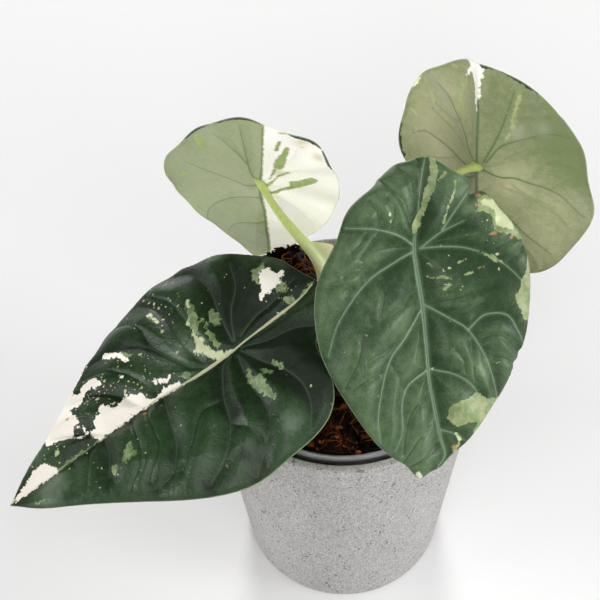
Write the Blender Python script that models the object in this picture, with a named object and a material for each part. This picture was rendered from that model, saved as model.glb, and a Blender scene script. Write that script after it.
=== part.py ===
"""A young potted alocasia: four shield-shaped leaves on their stalks, rooted in a clear
nursery pot that stands in a tall concrete-look planter.

Metres, +Z up. The origin is the middle of the planter's flat base. The planter's axis is Z, and
-Y is the side of the two leaves that show their upper faces.
"""
import math

import bpy
import numpy as np
from mathutils import Vector
from mathutils.geometry import delaunay_2d_cdt

# Planter
PLANTER_HEIGHT = 0.165
PLANTER_TOP_RADIUS = 0.066
PLANTER_BASE_RADIUS = 0.0534
PLANTER_WALL = 0.0038
PLANTER_FLOOR = 0.008
PLANTER_EDGE = 0.0012
PLANTER_SIDES = 72

# Nursery pot, standing on the planter's floor
SEAT_GAP = 0.0003
POT_TOP = PLANTER_HEIGHT - 0.0028
POT_LIP_RADIUS = 0.0582
POT_LIP_HEIGHT = 0.0032
POT_LIP_WIDTH = 0.0026
POT_BASE_RADIUS = 0.0462
POT_WALL = 0.0010
POT_DRAIN_RADIUS = 0.0060
POT_SIDES = 56

# Potting mix
MIX_TOP = PLANTER_HEIGHT - 0.0050
MIX_SPACING = 0.0056
MIX_SIDES = 48
MIX_CHIPS = 120
MIX_CHIP_HEIGHT = 0.0034
MIX_SEED = 11

# Rhizome: the thick crown that the leaf stalks grow from
CROWN = Vector((-0.004, 0.018, PLANTER_HEIGHT - 0.007))
CROWN_RADIUS = 0.0105
CROWN_DEPTH = 0.017
CROWN_SIDES = 24

# Leaves. A blade is laid out flat as (along, across) from the point where its stalk meets it.
# along runs down the midrib to the tip, across is to the left for someone who walks that way.
BLADE_THICKNESS = 0.0007
OUTLINE_ANGLES = (0, 12, 28, 50, 75, 100, 125, 150, 168, 180)
OUTLINE_STEP = 5
BLADE_SPACING = 0.0068
MIDRIB_STEP = 0.0060
MARGIN_WAVE = 0.0009
MARGIN_WAVES = 9
QUILT_HEIGHT = 0.0016
QUILT_REACH = 0.0050
VEIN_END = 0.93
VEIN_STEPS = 5
# Side veins: where each leaves the midrib, as a share of the way to the tip, and the polar angle
# of its end at the margin
SIDE_VEINS = ((0.0, 158), (0.0, 124), (0.0, 92), (0.0, 62), (0.20, 41), (0.38, 26), (0.56, 15), (0.73, 8))

# Each leaf: the stalk point, the heading of the tip in degrees from +X, the dip of the midrib
# below level, the turn about the midrib, then the bend along the midrib and across it (1/m) and
# the upward fold at the midrib (radians). left and right are the outline's radii in millimetres
# at OUTLINE_ANGLES.
LEAVES = {
    "a": {
        "point": (-0.0490, -0.0286, 0.2110), "heading": 204.6, "dip": 23.7, "turn": 4.1,
        "bend": -0.3, "arch": 5.2, "fold": 0.04,
        "left": (121.6, 94.6, 74.9, 66.1, 60.2, 57.3, 51.7, 40.0, 51.9, 47.0),
        "right": (121.6, 95.4, 77.8, 67.5, 62.3, 53.8, 47.2, 44.4, 44.8, 47.0),
    },
    "b": {
        "point": (0.0296, -0.0088, 0.2490), "heading": 278.8, "dip": 46.7, "turn": -13.6,
        "bend": 1.3, "arch": 3.6, "fold": 0.17,
        "left": (100.1, 84.9, 73.3, 61.0, 52.1, 42.0, 36.5, 37.0, 37.9, 36.3),
        "right": (100.1, 91.4, 76.1, 61.7, 51.2, 39.2, 35.8, 33.1, 34.8, 36.3),
    },
    "c": {
        "point": (-0.0340, 0.0411, 0.2390), "heading": 113.0, "dip": 76.8, "turn": 35.5,
        "bend": -1.3, "arch": 2.8, "fold": 0.12,
        "left": (85.0, 65.4, 56.3, 48.0, 45.6, 41.3, 39.7, 42.8, 46.1, 45.1),
        "right": (85.0, 70.4, 56.0, 43.0, 36.9, 35.3, 36.7, 41.8, 43.2, 45.1),
    },
    "d": {
        "point": (0.0628, 0.0455, 0.2370), "heading": 100.2, "dip": 102.2, "turn": 50.2,
        "bend": -0.1, "arch": 0.4, "fold": 0.26,
        "left": (91.8, 69.2, 64.2, 53.9, 55.2, 49.3, 48.5, 48.0, 51.3, 52.9),
        "right": (91.8, 67.1, 62.8, 58.1, 55.3, 49.9, 50.2, 49.9, 52.5, 52.9),
    },
}

# Leaf stalks: the side of the crown that each grows from (heading and rise, in degrees), the two
# inner points of its curve, its radius at the foot, half way and at the blade, and its sheath: a
# thin fin on the lower part, with its direction, its width and the share of the stalk it runs up
STALKS = {
    "a": {
        "heading": 226, "rise": 48, "inner": ((-0.020, 0.003, 0.181), (-0.038, -0.018, 0.196)),
        "radii": (0.0034, 0.0024, 0.0017), "fin": (-0.3, 0.6, 0.7), "fin_width": 0.0025, "fin_share": 0.5,
    },
    "b": {
        "heading": 312, "rise": 52, "inner": ((0.008, 0.008, 0.190), (0.022, 0.000, 0.230)),
        "radii": (0.0034, 0.0025, 0.0018), "fin": (-0.6, 0.5, 0.3), "fin_width": 0.0025, "fin_share": 0.5,
    },
    "c": {
        "heading": 140, "rise": 55, "inner": ((-0.0022, 0.0339, 0.2004), (-0.0184, 0.0200, 0.2111)),
        "radii": (0.0034, 0.0025, 0.0011), "fin": (0.9, 0.1, 0.5), "fin_width": 0.0085, "fin_share": 0.55,
    },
    "d": {
        "heading": 35, "rise": 52, "inner": ((0.0146, 0.0332, 0.2075), (0.0357, 0.0415, 0.2348)),
        "radii": (0.0034, 0.0024, 0.0016), "fin": (-0.3, 0.7, 0.5), "fin_width": 0.0025, "fin_share": 0.5,
    },
}
STALK_SIDES = 12
STALK_RINGS = 16

# Colours, as linear RGB
CONCRETE = (0.46, 0.44, 0.43)
SMOKY_PLASTIC = (0.10, 0.11, 0.11)
DARK_MIX = (0.045, 0.022, 0.012)
CROWN_BROWN = (0.16, 0.12, 0.06)
STALK_GREEN = (0.36, 0.48, 0.16)
LEAF_GREENS = {
    "a": (0.020, 0.060, 0.025), "b": (0.050, 0.120, 0.055),
    "c": (0.30, 0.38, 0.22), "d": (0.20, 0.29, 0.17),
}


def clear_scene():
    for old in list(bpy.data.objects):
        bpy.data.objects.remove(old, do_unlink=True)


def material(name, colour, roughness, metallic=0.0):
    made = bpy.data.materials.new(name)
    made.use_nodes = True
    shader = made.node_tree.nodes["Principled BSDF"]
    shader.inputs["Base Color"].default_value = (*colour, 1.0)
    shader.inputs["Roughness"].default_value = roughness
    shader.inputs["Metallic"].default_value = metallic
    return made


def mesh_object(name, points, faces, made, smooth_angle=40):
    mesh = bpy.data.meshes.new(name)
    mesh.from_pydata([tuple(p) for p in points], [], faces)
    mesh.shade_smooth()
    mesh.set_sharp_from_angle(angle=math.radians(smooth_angle))
    mesh.materials.append(made)
    built = bpy.data.objects.new(name, mesh)
    bpy.context.scene.collection.objects.link(built)
    return built


def turned(name, profile, sides, made, centre=(0.0, 0.0), closed=False):
    """A turned body. The profile is (radius, height) points from the lower end of the axis to the
    upper one, up the outer side. A closed profile never meets the axis and makes a ring."""
    points, rings = [], []
    for radius, height in profile:
        if radius == 0.0:
            rings.append([len(points)])
            points.append((centre[0], centre[1], height))
            continue
        rings.append(list(range(len(points), len(points) + sides)))
        for i in range(sides):
            turn = 2 * math.pi * i / sides
            points.append((centre[0] + radius * math.cos(turn), centre[1] + radius * math.sin(turn), height))
    faces = []
    pairs = list(zip(rings, rings[1:]))
    if closed:
        pairs.append((rings[-1], rings[0]))
    for low, high in pairs:
        for i in range(sides):
            j = (i + 1) % sides
            if len(low) == 1:
                faces.append((low[0], high[j], high[i]))
            elif len(high) == 1:
                faces.append((low[i], low[j], high[0]))
            else:
                faces.append((low[i], low[j], high[j], high[i]))
    return mesh_object(name, points, faces, made)


def planter_inner_radius(height):
    share = height / PLANTER_HEIGHT
    outer = PLANTER_BASE_RADIUS + (PLANTER_TOP_RADIUS - PLANTER_BASE_RADIUS) * share
    return outer - PLANTER_WALL


def build_planter():
    slope = (PLANTER_TOP_RADIUS - PLANTER_BASE_RADIUS) / PLANTER_HEIGHT
    top, edge = PLANTER_HEIGHT, PLANTER_EDGE
    inner_top = planter_inner_radius(top)
    profile = [
        (0.0, 0.0),
        (PLANTER_BASE_RADIUS - edge, 0.0),
        (PLANTER_BASE_RADIUS + slope * edge, edge),
        (PLANTER_TOP_RADIUS - slope * edge, top - edge),
        (PLANTER_TOP_RADIUS - 0.3 * edge, top - 0.3 * edge),
        (PLANTER_TOP_RADIUS - edge, top),
        (inner_top + edge, top),
        (inner_top + 0.3 * edge, top - 0.3 * edge),
        (inner_top - slope * edge, top - edge),
        (planter_inner_radius(PLANTER_FLOOR), PLANTER_FLOOR),
        (0.0, PLANTER_FLOOR),
    ]
    return turned("planter", profile, PLANTER_SIDES, material("concrete", CONCRETE, 0.9))


def pot_outer_radius(height):
    """The nursery pot's outer wall, below its lip."""
    low = PLANTER_FLOOR + SEAT_GAP
    high = POT_TOP - POT_LIP_HEIGHT
    under_lip = POT_LIP_RADIUS - POT_LIP_WIDTH + POT_WALL
    return POT_BASE_RADIUS + (under_lip - POT_BASE_RADIUS) * (height - low) / (high - low)


def build_nursery_pot():
    low = PLANTER_FLOOR + SEAT_GAP
    under_lip = POT_TOP - POT_LIP_HEIGHT
    inner_top = pot_outer_radius(under_lip) - POT_WALL
    lip_round = 0.3 * POT_LIP_HEIGHT
    floor_top = low + POT_WALL
    profile = [
        (POT_DRAIN_RADIUS, low),
        (POT_BASE_RADIUS, low),
        (pot_outer_radius(under_lip), under_lip),
        (POT_LIP_RADIUS - 0.0002, under_lip),
        (POT_LIP_RADIUS, under_lip + lip_round),
        (POT_LIP_RADIUS, POT_TOP - lip_round),
        (POT_LIP_RADIUS - lip_round, POT_TOP),
        (inner_top + lip_round, POT_TOP),
        (inner_top, POT_TOP - lip_round),
        (pot_outer_radius(floor_top) - POT_WALL, floor_top),
        (POT_DRAIN_RADIUS, floor_top),
    ]
    plastic = material("smoky_plastic", SMOKY_PLASTIC, 0.25)
    return turned("nursery_pot", profile, POT_SIDES, plastic, closed=True)


def flat_net(outline, ribs, spacing, keep_from_edge=0.55):
    """Triangles inside a flat outline, with edges along the ribs. Both are lists of 2-D points."""
    fixed = np.array(outline + [p for rib in ribs for p in rib])
    low, high = fixed.min(axis=0), fixed.max(axis=0)
    points = [Vector(p) for p in outline]
    edges = []
    for rib in ribs:
        first = len(points)
        points += [Vector(p) for p in rib]
        edges += [(i, i + 1) for i in range(first, len(points) - 1)]
    border = np.array(outline)
    border_next = np.roll(border, -1, axis=0)
    row_height = spacing * math.sqrt(0.75)
    rows = int((high[1] - low[1]) / row_height) + 1
    columns = int((high[0] - low[0]) / spacing) + 2
    for row in range(rows):
        for column in range(columns):
            x = low[0] + (column + 0.5 * (row % 2)) * spacing
            y = low[1] + (row + 0.5) * row_height
            crossings = (border[:, 1] > y) != (border_next[:, 1] > y)
            run = border_next[crossings] - border[crossings]
            at = border[crossings, 0] + (y - border[crossings, 1]) * run[:, 0] / run[:, 1]
            inside = np.count_nonzero(at > x) % 2 == 1
            clear = np.hypot(fixed[:, 0] - x, fixed[:, 1] - y).min() > keep_from_edge * spacing
            if inside and clear:
                points.append(Vector((x, y)))
    ring = list(range(len(outline)))
    found = delaunay_2d_cdt(points, edges, [ring], 1, 1e-7)
    return np.array([tuple(p) for p in found[0]]), [tuple(face) for face in found[2]]


def border_edges(faces):
    """The directed edges that belong to one face only."""
    directed = {(face[i], face[(i + 1) % len(face)]) for face in faces for i in range(len(face))}
    return [edge for edge in directed if (edge[1], edge[0]) not in directed]


def build_potting_mix():
    chance = np.random.default_rng(MIX_SEED)
    wall = pot_outer_radius(MIX_TOP) - POT_WALL - SEAT_GAP
    turns = 2 * np.pi * np.arange(MIX_SIDES) / MIX_SIDES
    outline = [(wall * math.cos(a), wall * math.sin(a)) for a in turns]
    flat, faces = flat_net(outline, [], MIX_SPACING)
    height = np.full(len(flat), MIX_TOP)
    for _ in range(MIX_CHIPS):
        spot = chance.uniform(-wall, wall, 2)
        lie = chance.uniform(0, math.pi)
        length, width = chance.uniform(0.0035, 0.0080), chance.uniform(0.0025, 0.0045)
        rise = chance.uniform(0.3, 1.0) * MIX_CHIP_HEIGHT
        away = flat - spot
        along = away @ np.array((math.cos(lie), math.sin(lie)))
        across = away @ np.array((-math.sin(lie), math.cos(lie)))
        on_chip = (abs(along) < length) & (abs(across) < width)
        height[on_chip] = np.maximum(height[on_chip], MIX_TOP + rise * (1 - abs(along[on_chip]) / (2 * length)))
    at_wall = np.hypot(flat[:, 0], flat[:, 1]) > wall - 0.0005
    height[at_wall] = MIX_TOP - 0.0008
    points = [(x, y, z) for (x, y), z in zip(flat, height)]
    low_z = PLANTER_FLOOR + SEAT_GAP + POT_WALL + SEAT_GAP
    low_radius = pot_outer_radius(low_z) - POT_WALL - SEAT_GAP
    shrink = low_radius / wall
    under = len(points)
    edges = border_edges(faces)
    place = {}
    for start, _ in edges:
        place[start] = len(points)
        points.append((flat[start][0] * shrink, flat[start][1] * shrink, low_z))
    middle = len(points)
    points.append((0.0, 0.0, low_z))
    for start, end in edges:
        faces.append((end, start, place[start], place[end]))
        faces.append((place[end], place[start], middle))
    mix = mesh_object("potting_mix", points, faces, material("dark_mix", DARK_MIX, 1.0), 20)
    hole = turned("crown_hole", [
        (0.0, CROWN.z - CROWN_DEPTH - SEAT_GAP),
        (CROWN_RADIUS + 1.5 * SEAT_GAP, CROWN.z - CROWN_DEPTH - SEAT_GAP),
        (CROWN_RADIUS + 1.5 * SEAT_GAP, PLANTER_HEIGHT + 0.010),
        (0.0, PLANTER_HEIGHT + 0.010),
    ], CROWN_SIDES, material("cutter", DARK_MIX, 1.0), (CROWN.x, CROWN.y))
    hole.hide_render = True
    hole.display_type = "WIRE"
    cut = mix.modifiers.new("crown_hole", "BOOLEAN")
    cut.operation = "DIFFERENCE"
    cut.solver = "EXACT"
    cut.object = hole
    return mix


def build_rhizome():
    foot = CROWN.z - CROWN_DEPTH
    profile = [(0.0, foot), (0.75 * CROWN_RADIUS, foot), (CROWN_RADIUS, foot + 0.006), (CROWN_RADIUS, CROWN.z)]
    for rise in (18, 36, 54, 72):
        angle = math.radians(rise)
        profile.append((CROWN_RADIUS * math.cos(angle), CROWN.z + CROWN_RADIUS * math.sin(angle)))
    profile.append((0.0, CROWN.z + CROWN_RADIUS))
    return turned("rhizome", profile, CROWN_SIDES, material("crown_brown", CROWN_BROWN, 0.8), (CROWN.x, CROWN.y))


def smooth_curve(knots, values, at):
    """A natural cubic spline whose last end is level."""
    knots, values = np.asarray(knots, float), np.asarray(values, float)
    count = len(knots)
    step = np.diff(knots)
    system, right = np.zeros((count, count)), np.zeros(count)
    system[0, 0] = 1.0
    for i in range(1, count - 1):
        system[i, i - 1], system[i, i + 1] = step[i - 1], step[i]
        system[i, i] = 2 * (step[i - 1] + step[i])
        right[i] = 6 * ((values[i + 1] - values[i]) / step[i] - (values[i] - values[i - 1]) / step[i - 1])
    system[-1, -2], system[-1, -1] = step[-1], 2 * step[-1]
    right[-1] = -6 * (values[-1] - values[-2]) / step[-1]
    bow = np.linalg.solve(system, right)
    i = np.clip(np.searchsorted(knots, at, side="right") - 1, 0, count - 2)
    h, x0, x1 = step[i], knots[i + 1] - at, at - knots[i]
    cubic = (bow[i] * x0**3 + bow[i + 1] * x1**3) / (6 * h)
    return cubic + (values[i] / h - bow[i] * h / 6) * x0 + (values[i + 1] / h - bow[i + 1] * h / 6) * x1


class Blade:
    """One leaf blade: its outline laid out flat, and the curved surface that it lies on."""

    def __init__(self, leaf):
        self.leaf = leaf
        heading, dip, turn = (math.radians(leaf[k]) for k in ("heading", "dip", "turn"))
        level = np.array((math.cos(heading), math.sin(heading), 0.0))
        up = np.array((0.0, 0.0, 1.0))
        self.forward = level * math.cos(dip) - up * math.sin(dip)
        normal = level * math.sin(dip) + up * math.cos(dip)
        left = np.cross(normal, self.forward)
        self.left = left * math.cos(turn) + normal * math.sin(turn)
        self.normal = np.cross(self.forward, self.left)

    def radius(self, degrees, side):
        values = self.leaf["left" if side > 0 else "right"]
        return smooth_curve(OUTLINE_ANGLES, values, np.asarray(degrees, float)) / 1000

    def outline(self):
        angles = np.arange(-180, 180, OUTLINE_STEP)
        points = []
        for angle in angles:
            reach = float(self.radius(abs(angle), 1 if angle > 0 else -1))
            points.append((reach * math.cos(math.radians(angle)), reach * math.sin(math.radians(angle))))
        return points

    def midrib(self):
        tip, base = self.leaf["left"][0] / 1000, -self.leaf["left"][-1] / 1000
        starts = [share * tip for share, _ in SIDE_VEINS if share > 0]
        inner = np.arange(base + MIDRIB_STEP, tip - MIDRIB_STEP / 2, MIDRIB_STEP)
        spare = [x for x in inner if min(abs(x - s) for s in starts + [0.0]) > MIDRIB_STEP / 2]
        return [(x, 0.0) for x in sorted([base, tip, 0.0] + starts + spare)]

    def side_veins(self):
        veins = []
        tip = self.leaf["left"][0] / 1000
        for side in (1, -1):
            for share, angle in SIDE_VEINS:
                reach = VEIN_END * float(self.radius(angle, side))
                end = reach * np.array((math.cos(math.radians(angle)), side * math.sin(math.radians(angle))))
                start = np.array((share * tip, 0.0))
                bow = start + (end - start) * np.array((0.35, 0.62))
                steps = [i / VEIN_STEPS for i in range(VEIN_STEPS + 1)]
                veins.append([(1 - t) ** 2 * start + 2 * t * (1 - t) * bow + t * t * end for t in steps])
        return veins

    def place(self, flat, ribs):
        """Points on the blade's upper face, with its waved margin and quilting."""
        along, across = flat[:, 0], flat[:, 1]
        bend = self.leaf["bend"] if abs(self.leaf["bend"]) > 1e-6 else 1e-6
        angle = bend * along
        run, drop = np.sin(angle) / bend, -(1 - np.cos(angle)) / bend
        arch, fold = self.leaf["arch"], self.leaf["fold"]
        tilt = fold - arch * abs(across)
        out = np.sign(across) * (math.sin(fold) - np.sin(tilt)) / arch
        rise = (np.cos(tilt) - math.cos(fold)) / arch
        polar = np.degrees(np.arctan2(across, along))
        edge = np.where(across > 0, self.radius(abs(polar), 1), self.radius(abs(polar), -1))
        share = np.clip(np.hypot(along, across) / edge, 0, 1)
        rise = rise + MARGIN_WAVE * share**3 * np.sin(MARGIN_WAVES * np.radians(polar))
        nearest = np.full(len(flat), 1.0)
        for rib in ribs:
            for start, end in zip(rib, rib[1:]):
                start, step = np.array(start), np.array(end) - np.array(start)
                part = np.clip(((flat - start) @ step) / (step @ step), 0, 1)
                away = flat - start - part[:, None] * step
                nearest = np.minimum(nearest, np.hypot(away[:, 0], away[:, 1]))
        puff = QUILT_HEIGHT * (1 - np.exp(-((nearest / QUILT_REACH) ** 2)))
        rise = rise + puff * np.clip(4 * (1 - share), 0, 1)
        forward = (run + rise * np.sin(angle))[:, None] * self.forward
        upward = (drop + rise * np.cos(angle))[:, None] * self.normal
        return np.array(self.leaf["point"]) + forward + out[:, None] * self.left + upward


def point_normals(points, faces):
    normals = np.zeros_like(points)
    for face in faces:
        a, b, c = (points[i] for i in face)
        normals[list(face)] += np.cross(b - a, c - a)
    return normals / np.linalg.norm(normals, axis=1)[:, None]


def build_leaf(letter):
    blade = Blade(LEAVES[letter])
    ribs = [blade.midrib()] + blade.side_veins()
    outline = blade.outline()
    # the midrib's ends are outline points already
    inner_ribs = [ribs[0][1:-1]] + [vein[1:] for vein in ribs[1:]]
    flat, faces = flat_net(outline, inner_ribs, BLADE_SPACING)
    upper = blade.place(flat, ribs)
    lower = upper - BLADE_THICKNESS * point_normals(upper, faces)
    count = len(upper)
    solid = list(faces) + [tuple(i + count for i in reversed(face)) for face in faces]
    for start, end in border_edges(faces):
        solid += [(end, start, start + count), (end, start + count, end + count)]
    made = material("leaf_" + letter, LEAF_GREENS[letter], 0.5)
    return mesh_object("leaf_" + letter, np.vstack((upper, lower)), solid, made, 60)


def build_stalk(letter):
    stalk, blade = STALKS[letter], Blade(LEAVES[letter])
    heading, rise = math.radians(stalk["heading"]), math.radians(stalk["rise"])
    from_crown = np.array((
        math.cos(rise) * math.cos(heading), math.cos(rise) * math.sin(heading), math.sin(rise)))
    foot = np.array(CROWN) + (CROWN_RADIUS + SEAT_GAP) * from_crown
    head = np.array(LEAVES[letter]["point"]) - (BLADE_THICKNESS + SEAT_GAP) * blade.normal
    knots = [foot, *(np.array(p) for p in stalk["inner"]), head]
    points, faces = [], []
    fin = np.array(stalk["fin"])
    for ring in range(STALK_RINGS):
        t = ring / (STALK_RINGS - 1)
        weights = ((1 - t) ** 3, 3 * t * (1 - t) ** 2, 3 * t * t * (1 - t), t**3)
        centre = sum(w * k for w, k in zip(weights, knots))
        slopes = (3 * (1 - t) ** 2, 6 * t * (1 - t), 3 * t * t)
        tangent = sum(w * (knots[i + 1] - knots[i]) for i, w in enumerate(slopes))
        tangent = tangent / np.linalg.norm(tangent)
        side = fin - tangent * (fin @ tangent)
        side = side / np.linalg.norm(side)
        other = np.cross(tangent, side)
        radius = np.interp(t, (0, 0.5, 1), stalk["radii"])
        share = t / stalk["fin_share"]
        sheath = stalk["fin_width"] * max(0.0, math.sin(math.pi * min(1.0, share) ** 1.5)) ** 0.6
        ends = {0: from_crown, STALK_RINGS - 1: blade.normal}
        for i in range(STALK_SIDES):
            turn = 2 * math.pi * i / STALK_SIDES
            reach = radius + (sheath if i == 0 else 0.0)
            point = centre + reach * (math.cos(turn) * side + math.sin(turn) * other)
            if ring in ends:
                # the end is cut flush with what it meets
                flush = ends[ring]
                point = point + tangent * (((centre - point) @ flush) / (tangent @ flush))
            points.append(point)
    for ring in range(STALK_RINGS - 1):
        for i in range(STALK_SIDES):
            j = (i + 1) % STALK_SIDES
            a, b = ring * STALK_SIDES + i, ring * STALK_SIDES + j
            faces += [(a, b, b + STALK_SIDES), (a, b + STALK_SIDES, a + STALK_SIDES)]
    faces.append(tuple(reversed(range(STALK_SIDES))))
    last = (STALK_RINGS - 1) * STALK_SIDES
    faces.append(tuple(range(last, last + STALK_SIDES)))
    return mesh_object("petiole_" + letter, points, faces, material("stalk_" + letter, STALK_GREEN, 0.5), 50)


def main():
    clear_scene()
    build_planter()
    build_nursery_pot()
    build_potting_mix()
    build_rhizome()
    for letter in LEAVES:
        build_stalk(letter)
        build_leaf(letter)


main()
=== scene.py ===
"""The looks of the potted alocasia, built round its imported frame.

Metres, +Z up, in the frame's own coordinates. The four blades, their stalks, the crown and the
potting mix are finer pieces that stand for their CAD nodes. The planter and the nursery pot are
the CAD nodes themselves, with new materials.
"""
import math

import bpy
import numpy as np
from mathutils import Matrix, Vector
from mathutils.geometry import delaunay_2d_cdt

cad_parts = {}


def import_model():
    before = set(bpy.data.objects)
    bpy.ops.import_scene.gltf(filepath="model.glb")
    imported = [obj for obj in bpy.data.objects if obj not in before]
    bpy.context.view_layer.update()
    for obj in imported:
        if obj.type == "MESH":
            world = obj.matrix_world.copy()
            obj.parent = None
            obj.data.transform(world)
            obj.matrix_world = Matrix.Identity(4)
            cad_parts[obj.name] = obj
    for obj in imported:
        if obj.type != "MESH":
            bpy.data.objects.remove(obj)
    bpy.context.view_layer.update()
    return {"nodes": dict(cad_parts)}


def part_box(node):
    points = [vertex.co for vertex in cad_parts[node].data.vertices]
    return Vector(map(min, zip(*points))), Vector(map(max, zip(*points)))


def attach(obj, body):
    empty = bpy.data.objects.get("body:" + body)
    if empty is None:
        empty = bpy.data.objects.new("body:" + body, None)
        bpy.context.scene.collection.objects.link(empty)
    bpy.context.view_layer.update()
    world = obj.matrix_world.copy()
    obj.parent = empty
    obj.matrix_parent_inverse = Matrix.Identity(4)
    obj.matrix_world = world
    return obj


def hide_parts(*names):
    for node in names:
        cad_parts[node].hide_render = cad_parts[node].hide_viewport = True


MM = 0.001

# Camera: the photograph's, worked out from the planter's rim ellipse, sides and base
CAMERA_PLACE = Vector((-0.01891, -0.33801, 0.67448))
CAMERA_DOWN = math.radians(54.265)
CAMERA_ROLL = math.radians(-2.789)
CAMERA_LENS = 78.0
CAMERA_SENSOR = 36.0

# Lamps: large soft discs round the plant, each with its azimuth from +X and its elevation in
# degrees, its width in metres and its power in watts
LAMP_TARGET = Vector((0.0, 0.0, 0.15))
LAMP_DISTANCE = 2.6
LAMPS = (
    ("back", 90, 10, 1.0, 90), ("right", 340, 10, 1.0, 38), ("right_high", 0, 58, 1.4, 16),
    ("left", 190, 10, 1.0, 28), ("left_high", 240, 58, 1.4, 19), ("front", 260, 32, 1.4, 20),
    ("front_right", 300, 32, 1.4, 11),
)
# How bright the world is as a light, and as the backdrop that the camera sees behind the floor
WORLD_STRENGTH = 0.01
BACKDROP_STRENGTH = 0.92
FLOOR_RADIUS = 2.55
FLOOR_LEVEL = -0.0005
FLOOR_SIDES = 96

# Leaves. A blade is laid out flat as (along, across) from the point where its stalk meets it.
# along runs down the midrib to the tip, across is to the left for someone who walks that way.
BLADE_THICKNESS = 0.45 * MM
OUTLINE_ANGLES = (0, 12, 28, 50, 75, 100, 125, 150, 168, 180)
OUTLINE_STEP = 1.0
BLADE_SPACING = 1.5 * MM
MARGIN_WAVE = 0.9 * MM
MARGIN_WAVES = 9
VALLEY_REACH = 9.0 * MM
PILLOW_REACH = 7.0 * MM
CREASE_REACH = 2.4 * MM
FURROW_REACH = 2.0 * MM
FURROW_END = 2.0 * MM

# The share of the way to the margin where the net's edges leave the veins, how far from a line its
# distance is still measured, and the distances that stand for none
RIBS_END = 0.985
VEINS_SEEN = 12 * MM
FURROWS_SEEN = 8 * MM
FAR_MARK = 40 * MM
FAR_FLECK = 20.0

# In millimetres: the steps along drawn veins and marks, the half widths of main veins and furrows at
# their first and last points, and the blades' small waves as (height, number, shortest, longest)
VEIN_STEP = 1.5
MARK_STEP = 1.0
VEIN_HALF = (0.42, 0.14)
FURROW_HALF = (0.18, 0.08)
SWELLS = ((0.40, 10, 22, 50), (0.02, 24, 2.5, 6))

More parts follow.
